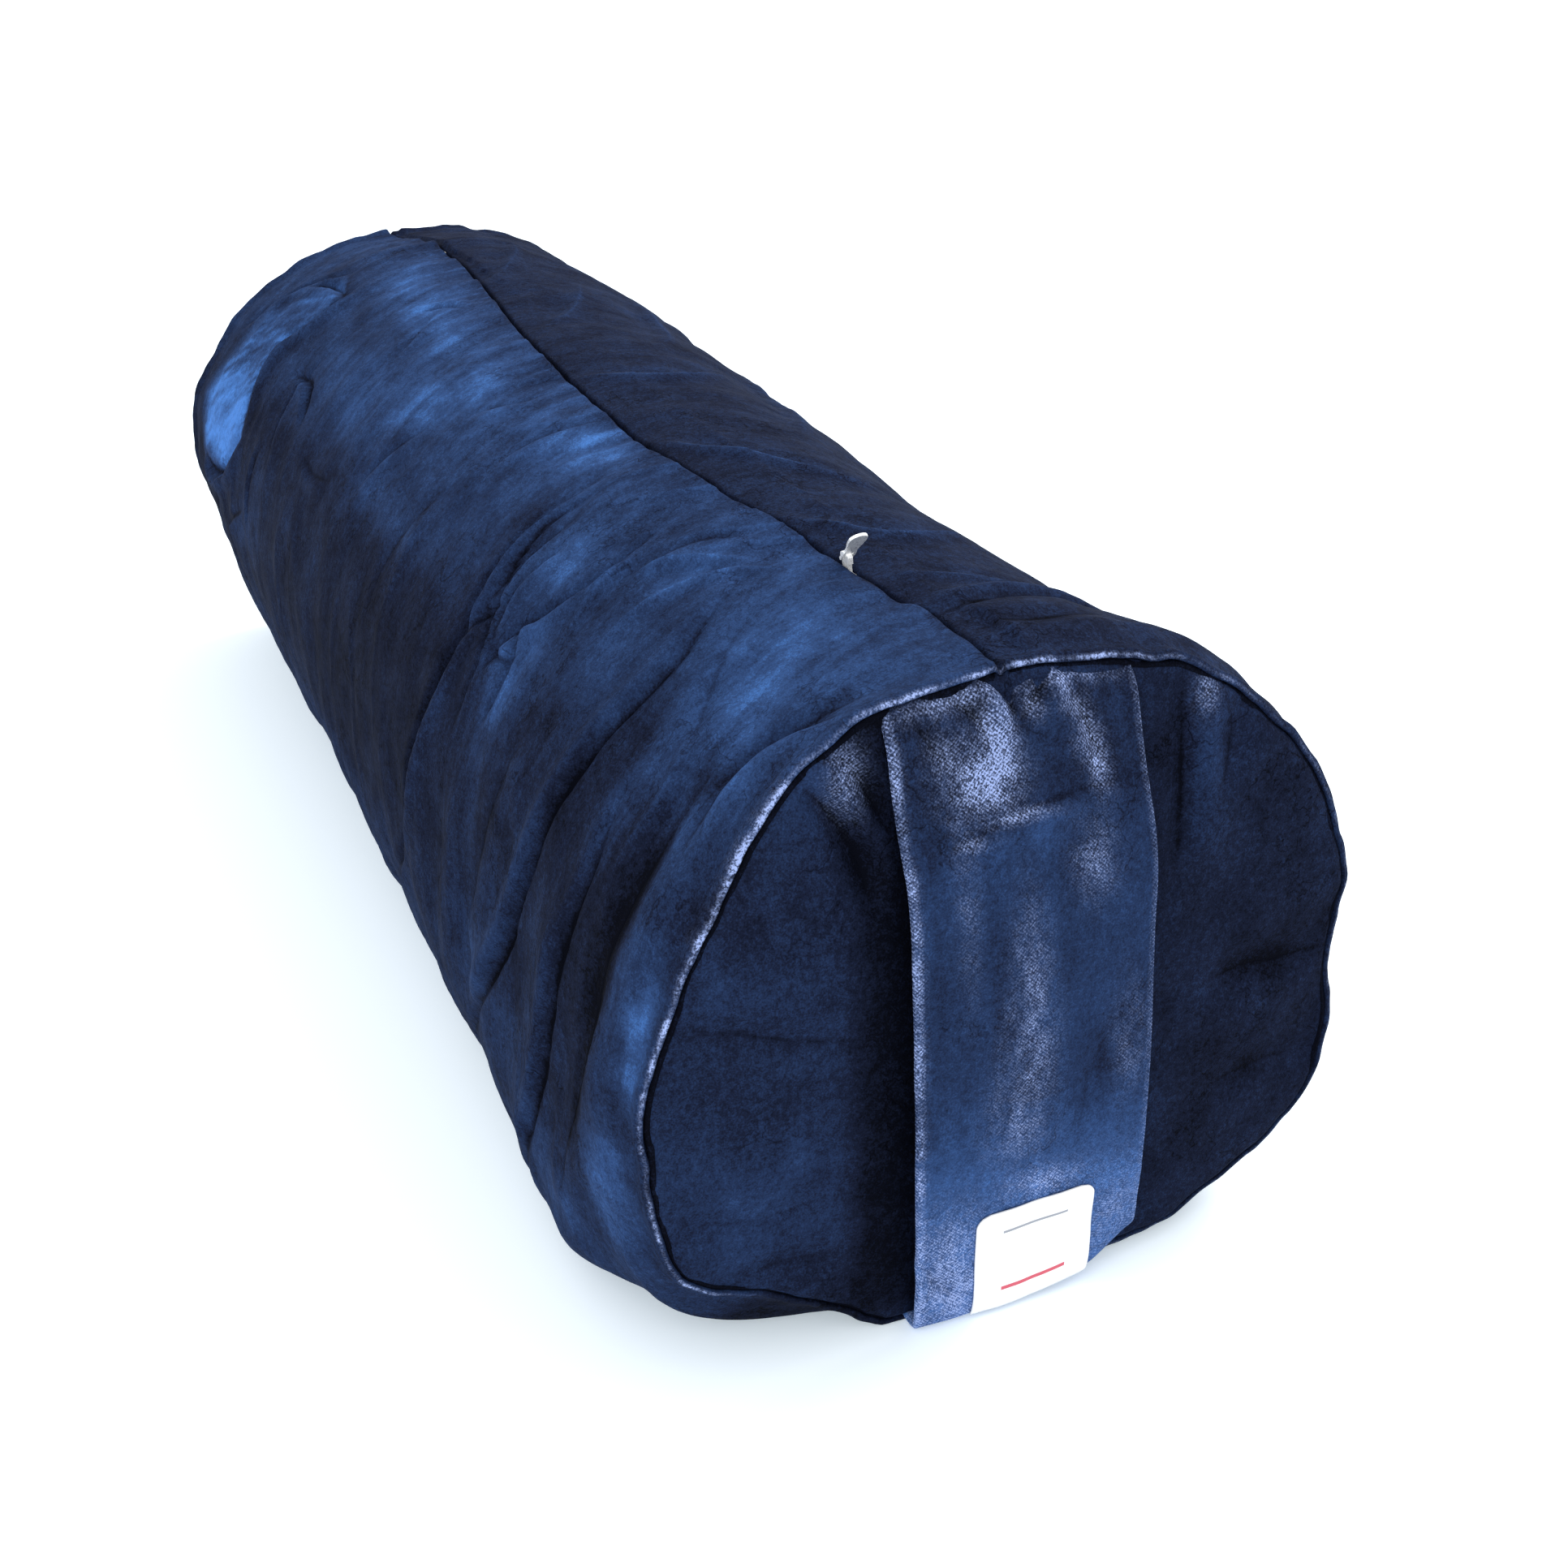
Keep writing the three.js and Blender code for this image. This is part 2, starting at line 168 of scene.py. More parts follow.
def draw_folds(u, w, creases):
    """Height of drawn folds, their painted shade and highlights, and where their sharp painted lines run
    (offset and strength).
    """
    height, shade = np.zeros(u.shape), np.zeros(u.shape)
    offset, strength = np.full(u.shape, 9.0), np.zeros(u.shape)
    for points, depth, width, lip in creases:
        drawn = points if lip >= 0 else points[::-1]
        valley, roll, signed, taper = crease(u, w, drawn, width)
        height += -depth * valley + abs(lip) * depth * roll
        # Painted shade in a valley and a painted highlight along a raised ridge, a painted highlight on the
        # roll, and a painted shadow on one side.
        shade += np.sign(-depth) * min(0.045 * abs(depth), 0.20) * valley**1.6
        shade += 0.035 * abs(lip * depth) * roll
        behind = np.exp(-np.abs(signed) / (3.5 * width)) * (signed < 0) * taper
        shade -= max(0.022 * depth, 0.0) * behind
        nearer = np.abs(signed) < np.abs(offset)
        offset = np.where(nearer, signed, offset)
        strength = np.where(nearer, taper * np.clip(depth / 3.0, -1.0, 1.0), strength)
    return height, shade, np.clip(offset, -9.0, 9.0), strength * np.exp(-((offset / 5.0) ** 2))


def lump(u, w, at, height, size):
    """A soft rise (or dip) at one place."""
    return height * np.exp(-(((u - at[0]) / size[0]) ** 2) - (((w - at[1]) / size[1]) ** 2))


# ---------------------------------------------------------------- meshes
def new_piece(name, verts, faces):
    """A smooth-shaded mesh object from points in millimetres."""
    mesh = bpy.data.meshes.new(name)
    mesh.from_pydata((np.asarray(verts, float) * MM).tolist(), [], faces)
    mesh.update()
    mesh.validate()
    piece = bpy.data.objects.new(name, mesh)
    bpy.context.scene.collection.objects.link(piece)
    mesh.polygons.foreach_set("use_smooth", [True] * len(mesh.polygons))
    return piece


def grid_faces(rows, columns, start=0, closed=True, flip=False):
    """Quads between rows of points; closed joins the last column to the first."""
    faces = []
    count = columns if closed else columns - 1
    for r in range(rows - 1):
        for c in range(count):
            a = start + r * columns + c
            b = start + r * columns + (c + 1) % columns
            quad = (a, b, b + columns, a + columns)
            faces.append(quad[::-1] if flip else quad)
    return faces


def sheet_faces(rows, columns):
    """Faces of a thin closed sheet: a front grid, a back grid after it, and the edge between them."""
    back = rows * columns
    faces = grid_faces(rows, columns, 0, closed=False)
    faces += grid_faces(rows, columns, back, closed=False, flip=True)
    ring = [r * columns for r in range(rows)]
    ring += [(rows - 1) * columns + c for c in range(1, columns)]
    ring += [r * columns + columns - 1 for r in range(rows - 2, -1, -1)]
    ring += list(range(columns - 2, 0, -1))
    return faces + [(a, b, b + back, a + back) for a, b in zip(ring, ring[1:] + ring[:1])]


def paint(piece, name, values):
    """Stores one number for each point, for the material to read."""
    values = np.asarray(values, np.float32).ravel()
    attribute = piece.data.attributes.new(name, "FLOAT", "POINT")
    padded = np.zeros(len(piece.data.vertices), np.float32)
    padded[: len(values)] = values
    attribute.data.foreach_set("value", padded)


def paint_thread(piece, first, second):
    """Stores where each point lies across and along the cloth's threads, in millimetres."""
    paint(piece, "thread_a", first)
    paint(piece, "thread_b", second)


def outward(piece):
    """Turns all faces of a closed piece outwards."""
    made = bmesh.new()
    made.from_mesh(piece.data)
    bmesh.ops.recalc_face_normals(made, faces=made.faces)
    made.to_mesh(piece.data)
    made.free()


# ---------------------------------------------------------------- the cover's section
# Half outlines of the cover from the top, out and down to the middle of the underside, (y, z).
# GIRTH is the arc length down to there, and the first FREE_GIRTH of it is never stretched.
GIRTH = 362.6
FREE_GIRTH = 170.0
W_TABLE = np.linspace(0.0, GIRTH, 1451)


def arc_points(last_degrees, step=10):
    turns = np.radians(np.arange(0, last_degrees + 1, step))
    return [(RADIUS * math.sin(t), AXIS_Z + RADIUS * math.cos(t)) for t in turns]


ROUND = arc_points(130) + [(79, 3.6), (62, 0), (30, 0), (0, 0)]
SAGGED = arc_points(90) + [
    (120, 72), (123, 52), (124, 34), (122, 18), (113, 6.5), (97, 0), (60, 0), (0, 0)
]
SAGGED_END = arc_points(90) + [
    (118, 74), (118, 54), (115, 37), (107, 22), (95, 10.5), (79, 4), (61, 0.5), (40, 0), (0, 0)
]
SLIM = [
    (0, 207), (20, 203.5), (40, 195.5), (57, 184), (74, 168), (92, 145), (105, 120), (112, 95),
    (112, 68), (105, 42), (92, 19), (78, 5), (61, 0), (30, 0), (0, 0),
]
NEAR_RIM_LEFT = [
    (0, 207), (14, 206.5), (30, 205), (47, 202.5), (61, 196.5), (76, 184), (92, 160), (106, 131),
    (115.5, 107), (117, 80), (114, 57), (109, 43), (99, 33), (80, 24), (57, 12), (45, 3.5),
    (36, 0.5), (0, 0.5),
]
NEAR_RIM_RIGHT = [
    (0, 207), (29, 203), (50, 198), (81, 175), (102.5, 146.8), (114.6, 116.5), (111.4, 91), (114.5, 59),
    (108, 38), (91, 22), (68, 9.5), (52, 3.5), (0, 0.5),
]
FAR_RIM_LEFT = [
    (0, 197), (30, 194), (58, 184), (86, 164.5), (108.5, 132), (115, 104), (111, 80), (102, 57),
    (90, 38), (78, 20), (64, 8), (48, 1), (0, 0),
]
FAR_RIM_RIGHT = [
    (0, 198), (30, 196), (60, 187), (88, 167), (108, 133), (114, 100), (112, 70), (103, 43),
    (89, 21), (70, 6), (50, 0), (0, 0),
]
TRIM = [(0.985 * y, AXIS_Z + 0.985 * (z - AXIS_Z) if z > AXIS_Z else z) for y, z in ROUND]
FULL = [(1.018 * y, AXIS_Z + 1.018 * (z - AXIS_Z) if z > AXIS_Z else z) for y, z in ROUND]


def outline_table(points):
    """y and z of a half outline at each place of W_TABLE."""
    line = curve_through(points, 500)
    along = np.concatenate([[0], np.cumsum(np.linalg.norm(np.diff(line, axis=0), axis=1))])
    stretch = (GIRTH - FREE_GIRTH) / (along[-1] - FREE_GIRTH)
    w = np.where(along < FREE_GIRTH, along, FREE_GIRTH + (along - FREE_GIRTH) * stretch)
    return np.array([np.interp(W_TABLE, w, line[:, 0]), np.interp(W_TABLE, w, line[:, 1])])


ROUND_T, SAGGED_T, SLIM_T = outline_table(ROUND), outline_table(SAGGED), outline_table(SLIM)


def between(first, second, share):
    return first * (1.0 - share) + second * share


# Places along the length with the left and right half outlines there.
STATIONS = [
    (-325.0, outline_table(FAR_RIM_LEFT), outline_table(FAR_RIM_RIGHT)),
    (-235.0, outline_table(TRIM), ROUND_T),
    (-90.0, between(ROUND_T, SAGGED_T, 0.2), between(ROUND_T, SLIM_T, 0.1)),
    (40.0, between(ROUND_T, SAGGED_T, 0.5), between(ROUND_T, SLIM_T, 0.46)),
    (150.0, between(ROUND_T, SAGGED_T, 0.7), between(ROUND_T, SLIM_T, 1.15)),
    (258.0, SAGGED_T, between(ROUND_T, SLIM_T, 0.75)),
    (306.0, outline_table(SAGGED_END), outline_table(FULL)),
    (325.0, outline_table(NEAR_RIM_LEFT), outline_table(NEAR_RIM_RIGHT)),
]


def section(x, w):
    """Point (y, z) and outward normal of the cover's outline at a place and arc length."""
    x, w = np.broadcast_arrays(np.asarray(x, float), np.asarray(w, float))
    reach = np.abs(w)
    y, z = np.zeros(w.shape), np.zeros(w.shape)
    dy, dz = np.zeros(w.shape), np.zeros(w.shape)
    for k, (at, left_table, right_table) in enumerate(STATIONS):
        weight = np.ones(w.shape)
        if k > 0:
            weight = weight * smooth(x, STATIONS[k - 1][0], at)
        if k < len(STATIONS) - 1:
            weight = weight * (1.0 - smooth(x, at, STATIONS[k + 1][0]))
        for table, here, sign in ((left_table, w < 0, -1.0), (right_table, w >= 0, 1.0)):
            part = weight * here
            y += part * sign * np.interp(reach, W_TABLE, table[0])
            z += part * np.interp(reach, W_TABLE, table[1])
            dy += part * sign * np.interp(reach, W_TABLE, np.gradient(table[0], W_TABLE))
            dz += part * np.interp(reach, W_TABLE, np.gradient(table[1], W_TABLE))
    side = np.where(w < 0, -1.0, 1.0)
    length = np.hypot(dy, dz) + 1e-9
    return y, z, -side * dz / length, side * dy / length


# The seam wanders from the top: a few places along it, (x, w).
SEAM = [
    (-330.0, -6.0), (-280.0, -3.0), (-226.0, -3.0), (-150.0, -8.0), (-60.0, -17.5),
    (30.0, -23.0), (100.0, -24.5), (160.0, -21.5), (205.0, -16.5), (240.0, -14.0),
    (268.0, -12.5), (282.0, -9.5), (300.0, -10.5), (330.0, -11.5),
]
SEAM_LINE = curve_through(SEAM, 200)


def seam_at(x):
    return np.interp(x, SEAM_LINE[:, 0], SEAM_LINE[:, 1])


# ---------------------------------------------------------------- the cover's slack cloth
SLACK_ROWS, SLACK_COLUMNS = 112, 120
SLACK_FRAMES = 20
SLACK_SHARE = 0.045  # how much longer the cloth is than the shape it lies on
SLACK_LIMIT = 2.6  # the most that a wrinkle stands off
CORE_INSET = 3.0  # how deep the filled shape lies under the cloth
PINNED_UNDERSIDE = 300.0  # the cloth is held from this arc length down
PINNED_SEAM = 4.0  # and this close to the seam


def softened(field, rounds):
    """A field averaged with its neighbours; its columns go round, its rows end."""
    for _ in range(rounds):
        field = 0.5 * field + 0.25 * (np.roll(field, 1, 1) + np.roll(field, -1, 1))
        rows = np.pad(field, ((1, 1), (0, 0)), mode="edge")
        field = 0.5 * field + 0.25 * (rows[:-2] + rows[2:])
    return field


def settle_slack():
    """Lets a slack tube of cloth settle on the filled shape: how far it then stands off, in mm."""
    x = np.linspace(-END, END, SLACK_ROWS)
    lines = np.linspace(-GIRTH, GIRTH, SLACK_COLUMNS, endpoint=False)
    u = np.repeat(x[:, None], SLACK_COLUMNS, 1)
    w = np.repeat(lines[None], SLACK_ROWS, 0)
    y, z, ny, nz = section(u, w)
    uneven = 0.8 * np.random.default_rng(5).uniform(-1.0, 1.0, u.shape)
    start = np.stack([u, y + ny * uneven, np.maximum(z + nz * uneven, 0.2)], -1)
    core = np.stack([u, y - CORE_INSET * ny, np.maximum(z - CORE_INSET * nz, CORE_INSET)], -1)
    faces = grid_faces(SLACK_ROWS, SLACK_COLUMNS)
    cloth = new_piece("slack_cloth", start.reshape(-1, 3), faces)
    filled = new_piece("slack_core", core.reshape(-1, 3), faces)
    outward(cloth)
    outward(filled)
    filled.modifiers.new("stop", "COLLISION")
    filled.collision.thickness_outer = 0.0015
    filled.collision.cloth_friction = 20.0
    held = (np.abs(w) > PINNED_UNDERSIDE) | (np.abs(w - seam_at(u)) < PINNED_SEAM)
    held[:2] = held[-2:] = True
    pins = cloth.vertex_groups.new(name="pins")
    pins.add(np.flatnonzero(held.ravel()).tolist(), 1.0, "ADD")
    made = cloth.modifiers.new("cloth", "CLOTH")
    settings = made.settings
    settings.quality = 5
    settings.mass = 0.25
    settings.tension_stiffness = settings.compression_stiffness = 15.0
    settings.shear_stiffness = 6.0
    settings.bending_stiffness = 2.0
    settings.vertex_group_mass = "pins"
    settings.shrink_min = -SLACK_SHARE
    settings.effector_weights.gravity = 0.35
    settings.use_pressure = True
    settings.uniform_pressure_force = 1.2
    made.collision_settings.distance_min = 0.0015
    made.point_cache.frame_start, made.point_cache.frame_end = 1, SLACK_FRAMES
    for number in range(1, SLACK_FRAMES + 1):
        bpy.context.scene.frame_set(number)
    settled = cloth.evaluated_get(bpy.context.evaluated_depsgraph_get())
    places = np.zeros(SLACK_ROWS * SLACK_COLUMNS * 3)
    settled.data.vertices.foreach_get("co", places)
    places = places.reshape(SLACK_ROWS, SLACK_COLUMNS, 3) / MM
    for used in (cloth, filled):
        mesh = used.data
        bpy.data.objects.remove(used)
        bpy.data.meshes.remove(mesh)
    bpy.context.scene.frame_set(1)
    off = (places[..., 1] - y) * ny + (places[..., 2] - z) * nz
    return np.clip(softened(off, 2) - softened(off, 40), -SLACK_LIMIT, SLACK_LIMIT)


SLACK = settle_slack()


def slack_relief(u, w):
    """The settled cloth's wrinkles at any place."""
    row = np.clip((u + END) / (2 * END) * (SLACK_ROWS - 1), 0.0, SLACK_ROWS - 1.001)
    column = (w + GIRTH) / (2 * GIRTH) * SLACK_COLUMNS
    i, j = row.astype(int), np.floor(column).astype(int)
    a, b = row - i, column - j
    a, b = a * a * (3.0 - 2.0 * a), b * b * (3.0 - 2.0 * b)
    j, k = j % SLACK_COLUMNS, (j + 1) % SLACK_COLUMNS
    low = SLACK[i, j] * (1.0 - b) + SLACK[i, k] * b
    high = SLACK[i + 1, j] * (1.0 - b) + SLACK[i + 1, k] * b
    return low * (1.0 - a) + high * a


# ---------------------------------------------------------------- the cover's folds
# Creases of the cover: points (x, w), depth, width and roll. A negative depth is a raised ridge,
# and a negative roll puts the roll on the other side of the line.
SIDE_CREASES = [
    ([(313, -44), (303, -62), (299, -84), (303, -110)], 2.8, 3.2, 0.8),
    ([(222, -42), (230, -58), (237, -74), (236, -98), (232, -122), (226, -150), (215, -177),
      (202, -198), (184, -218), (160, -242)], 4.6, 2.4, -0.5),
    ([(262, -108), (266, -132), (262, -158), (255, -188), (243, -220), (226, -252)], 3.4, 2.2, -0.45),
    ([(290, -84), (291, -120), (287, -160), (280, -200), (268, -236)], 2.6, 6.0, 0.3),
    ([(111, -48), (110, -78), (113, -98), (118, -116), (115, -140), (107, -165), (99, -188),
      (86, -210), (66, -228)], 3.6, 2.2, 0.5),
    ([(120, -52), (116, -72), (122, -92), (126, -108)], 2.2, 1.8, -0.6),
    ([(140, -70), (136, -88), (140, -104), (147, -114)], 2.0, 1.7, 0.6),
    ([(180, -52), (176, -72), (184, -92)], -1.4, 2.0, 0.4),
    ([(214, -34), (196, -48), (184, -66)], -1.8, 1.6, 0.4),
    ([(226, -30), (212, -44), (204, -62), (203, -84)], -1.6, 1.8, 0.4),
    ([(272, -84), (279, -102), (277, -124)], -1.6, 3.0, 0.4),
    ([(-196, -168), (-214, -176), (-236, -190)], 1.8, 2.0, 0.6),
    ([(-176, -132), (-184, -150), (-180, -172)], 1.4, 2.0, -0.6),
    ([(-140, -44), (-131, -30), (-118, -26)], 1.2, 1.6, 0.7),
    ([(168, -45), (171, -68), (163, -88), (152, -102), (146, -122)], 2.8, 2.0, 0.6),
    ([(128, -62), (124, -84), (132, -104), (141, -119), (139, -140)], 2.4, 1.9, 0.5),
    ([(150, -96), (158, -104), (163, -118), (160, -134)], 1.8, 1.8, 0.6),
    ([(120, -118), (126, -106), (136, -98)], 2.0, 1.9, 0.6),
    ([(144, -108), (152, -112), (164, -108)], 1.6, 1.6, 0.6),
    ([(196, -120), (190, -150), (180, -178), (166, -200)], 1.2, 4.0, 0.3),
    ([(-137, -112), (-148, -103), (-163, -96), (-186, -98)], 2.6, 1.9, 0.5),
    ([(-168, -84), (-171, -100), (-169, -118), (-160, -134)], 1.8, 1.8, 0.5),
    ([(-72, -119), (-96, -123), (-118, -120)], 1.2, 1.6, 0.8),
    ([(-216, -52), (-214, -66), (-220, -80), (-229, -93), (-226, -112), (-219, -132)], 3.6, 2.4, 0.8),
    ([(-214, -58), (-226, -56), (-243, -57), (-262, -64)], 3.4, 2.2, 0.7),
    ([(-216, -136), (-226, -150), (-242, -161), (-262, -166), (-284, -160)], 3.6, 2.6, 0.8),
    ([(-243, -46), (-262, -58), (-282, -78), (-296, -96)], 2.8, 2.4, 0.5),
    ([(-255, -172), (-268, -190), (-284, -206)], 2.4, 3.4, 0.5),
    ([(40, -80), (30, -100), (24, -122), (26, -150)], 0.9, 5.0, 0.4),
    ([(-20, -74), (-32, -92), (-38, -112)], 1.1, 2.2, 0.5),
    ([(-128, -36), (-112, -52), (-104, -66)], 1.0, 1.9, 0.7),
    ([(320, -52), (308, -60), (299, -74), (294, -92)], 2.2, 3.4, 0.4),
    ([(275, -88), (258, -70), (240, -46)], 1.0, 3.0, 0.5),
    ([(20, -30), (12, -44), (-4, -60)], 0.9, 2.0, 0.8),
    ([(66, -28), (54, -46), (48, -70)], 0.9, 2.0, 0.8),
    ([(200, -28), (188, -44), (184, -66)], 1.0, 2.0, 0.8),
]
TOP_CREASES = [
    ([(100, -22), (124, -10), (140, 4), (152, 20), (158, 40)], -2.4, 3.4, 0.4),
    ([(196, -15), (210, -4), (222, 8), (220, 24), (206, 44)], -2.4, 3.2, 0.4),
    ([(252, -12), (256, 4), (262, 22), (275, 44)], -1.6, 3.0, 0.4),
    ([(284, -8), (281, 8), (280, 26), (282, 56)], 3.0, 2.8, 0.8),
    ([(300, -6), (303, 16), (300, 38)], 1.6, 4.0, 0.5),
    ([(10, -20), (22, -2), (24, 16), (14, 34), (-4, 50)], -2.0, 3.4, 0.4),
    ([(-60, -12), (-84, 10), (-118, 26), (-150, 36)], -1.6, 3.4, 0.4),
    ([(-150, -4), (-176, 12), (-210, 26), (-244, 34)], -1.5, 3.4, 0.4),
    ([(-30, 30), (-60, 46), (-110, 58), (-160, 66)], -1.9, 4.0, 0.4),
    ([(90, 40), (50, 58), (0, 72), (-60, 84)], -2.0, 4.2, 0.4),
]
RIGHT_CREASES = [
    ([(238, 62), (231, 100), (214, 142), (190, 182), (158, 222), (120, 250)], 4.2, 4.5, 0.5),
    ([(196, 128), (176, 158), (160, 196), (150, 232)], 2.6, 4.0, 0.3),
    ([(96, 96), (80, 140), (52, 182), (16, 214)], 3.4, 5.0, 0.4),
    ([(286, 92), (280, 138), (268, 176), (262, 210)], 2.8, 4.5, 0.4),
    ([(300, 150), (296, 182), (286, 214)], 2.2, 4.0, 0.3),
    ([(2, 150), (-22, 178), (-34, 210), (-62, 236)], 2.6, 5.0, 0.3),
    ([(-96, 70), (-128, 98), (-150, 140), (-160, 172)], 3.0, 5.0, 0.4),
    ([(-176, 168), (-196, 196), (-232, 224)], 2.4, 4.0, 0.3),
    ([(-262, 74), (-254, 116), (-262, 150), (-280, 178)], 3.2, 4.5, 0.4),
]
COVER_CREASES = SIDE_CREASES + TOP_CREASES + RIGHT_CREASES
# The pale line on a raised ridge is a painted highlight.
RIDGE_LINE_SHARE = 0.55  # how strong the pale line on a raised ridge is


def rim_distance(x):
    return END - np.abs(x)


def seam_puckers(u, across):
    """Short gathers that run into the seam, closer on the left of it than on the right."""
    left = across < 0
    rows = layered(u + 0.5 * np.abs(across), across * 0.0, 15.0, 1.0, 31, 2)
    sharp = np.sign(rows) * np.abs(rows) ** 1.2
    reach = np.where(left, 20.0, 11.0) * (1.0 + 0.5 * lattice(u, u * 0, 40.0, 1.0, 32))
    fade = np.exp(-np.abs(across) / reach)
    return np.where(left, 1.9, 0.8) * sharp * fade


def rim_puckers(u, w):
    """Gathers where the wrapped panel is sewn to an end panel."""
    rows = layered(w, u * 0.0, 13.0, 1.0, 41, 2)
    return 1.6 * rows * np.exp(-rim_distance(u) / 18.0)


def cover_relief(u, w, across):
    """How far the velvet stands out from the plain outline, and the painted shade and highlights of its
    folds and pleats.
    """
    relief = 1.5 * layered(u, w, 85.0, 75.0, 11, 2)
    loose = smooth(np.abs(w), 50.0, 120.0) * (1.0 - smooth(np.abs(w), 290.0, 320.0))
    hoops = layered(u + 0.18 * w, w, 21.0, 120.0, 12, 2)
    relief += 0.6 * loose * hoops
    ridges = ridged(u + 0.2 * w, w, 34.0, 95.0, 14) - 0.3
    relief += 0.7 * loose * ridges
    left = 1.0 - smooth(across, -1.0, 1.0)
    fan = ridged(u + 0.8 * np.abs(across), across, 14.0, 55.0, 15) ** 2 * left
    fan *= np.exp(-np.abs(across) / 38.0) * smooth(u, -90.0, 30.0) * (1.0 - smooth(u, 225.0, 245.0))
    relief += 0.9 * fan + 0.3 * layered(u, w, 11.0, 15.0, 13, 2)
    folds, shade, offset, strength = draw_folds(u, w, COVER_CREASES)
    relief += folds + seam_puckers(u, across) + rim_puckers(u, w) + slack_relief(u, w)
    relief += lump(u, w, (-262.0, -112.0), 1.0, (30.0, 42.0))
    relief += lump(u, w, (205.0, -95.0), 2.5, (30.0, 50.0))
    relief += lump(u, w, (140.0, -75.0), 2.0, (22.0, 35.0))
    # Painted highlights on the pleats that fan from the seam and on the loose ridges.
    shade += 0.16 * fan + 0.03 * loose * ridges
    strength = np.where(strength < 0.0, RIDGE_LINE_SHARE * strength, strength)
    return relief, shade, (offset, strength)


# Where the zip's pull comes down on the cover at its hinge's limit, how far round, and how flat.
PULL_LANDS, PULL_REACH, PULL_PRESS = (250.0, 0.0), (13.0, 8.0), 0.9


def zip_groove(u, across):
    """The closed slit over the zip; its left edge stands a little higher."""
    sewn = np.maximum(smooth(u, ZIP_CLOSED_X, ZIP_CLOSED_X + 12), smooth(-u, -ZIP_OPEN_X, 12 - ZIP_OPEN_X))
    cut = -(3.0 - 1.0 * sewn) * np.exp(-((across / 0.8) ** 2))
    left = np.where(across < 0, 1.6, 0.0) * np.exp(across / 7.0) * (1 - np.exp(-((across / 1.1) ** 2)))
    right = np.where(across > 0, -0.7, 0.0) * np.exp(-across / 4.0)
    return cut + left + right


# ---------------------------------------------------------------- the cover's panels
RIM_ROUND = 2.0
TUCK = [(0.7, 2.3), (2.2, 2.7), (4.5, 2.9)]
FLOOR_GAP = 0.15


def rim_profile():
    """(distance from the end, depth below the surface) from the straight run into the rim seam."""
    turn = np.radians(np.linspace(0.0, 84.0, 7))
    arc = np.stack([RIM_ROUND - RIM_ROUND * np.sin(turn), RIM_ROUND - RIM_ROUND * np.cos(turn)], 1)
    return np.vstack([arc, TUCK])


def body_rows():
    """Stations along the body as (x, inset), from the far tuck to the near tuck."""
    rim = rim_profile()
    straight = np.linspace(-END + 10.0, END - 10.0, 322)
    edge = [-1.2, 1.6, 4.4]
    far = [(-END + e, inset) for e, inset in rim[::-1]] + [(-END + 5.0 + e, 0.0) for e in edge]
    near = [(END - 5.0 - e, 0.0) for e in edge[::-1]] + [(END - e, inset) for e, inset in rim]
    return np.array(far + [(x, 0.0) for x in straight] + near)


def body_columns():
    """Cloth lines round the body, as distance from the seam; they are closest beside it."""
    fine = np.array([0.0, 0.35, 0.7, 1.1, 1.6, 2.3, 3.2, 4.4, 6.0])
    right = np.concatenate([fine, np.linspace(8.0, GIRTH, 182)])[:-1]
    left = -np.concatenate([fine[1:], np.linspace(8.0, GIRTH, 182)])[::-1]
    return np.concatenate([left, right])


def rim_lean(y, z):
    """The strap end isn't square to the length: it leans."""
    return -0.048 * y + 0.026 * (z - HEIGHT / 2)


def lean_share(x):
    return smooth(x, END - 160.0, END)


def girth_place(x, across):
    """Arc length from the top of a cloth line that lies so far from the seam."""
    return np.clip(across + seam_at(x) * (1.0 - smooth(np.abs(across), 20.0, 150.0)), -GIRTH, GIRTH)


def off_floor(z):
    return smooth(z, 1.0, 26.0)


def cover_surface(x, w, across, inset):
    """Points of the velvet's outer face at a depth below it, the painted shade of its folds with their
    lines, and normals.
    """
    y, z, ny, nz = section(x, w)
    relief, shade, lines = cover_relief(x, w, across)
    relief = relief * (0.05 + 0.95 * off_floor(z)) + zip_groove(x, across)
    pressed = lump(x, across, PULL_LANDS, PULL_PRESS, PULL_REACH)
    relief = relief - pressed * np.maximum(relief + 1.0, 0.0)
    relief = relief * (1.0 - 0.45 * np.exp(-rim_distance(x) / 5.0))
    ridge = 1.1 * bell(rim_distance(x), 1.8, 2.6) * (1.0 + 0.6 * layered(x * 0, w, 1.0, 9.0, 47, 2))
    proud = relief + ridge - inset
    py, pz = y + ny * proud, z + nz * proud
    pz = np.maximum(pz, 0.0) + FLOOR_GAP + 0.3 * inset * (pz < 0)
    px = x + lean_share(x) * rim_lean(py, pz)
    return np.stack([px, py, pz], -1), proud, (shade, lines), (ny, nz)


def lowest_nearby(values, reach):
    """Each value's lowest neighbour within a few rows and columns."""
    lowest = values
    for step in range(1, reach + 1):
        for shifted in (np.roll(values, step, 1), np.roll(values, -step, 1)):
            lowest = np.minimum(lowest, shifted)
    padded = np.pad(lowest, ((reach, reach), (0, 0)), mode="edge")
    count = values.shape[0]
    return np.minimum.reduce([padded[k : k + count] for k in range(2 * reach + 1)])


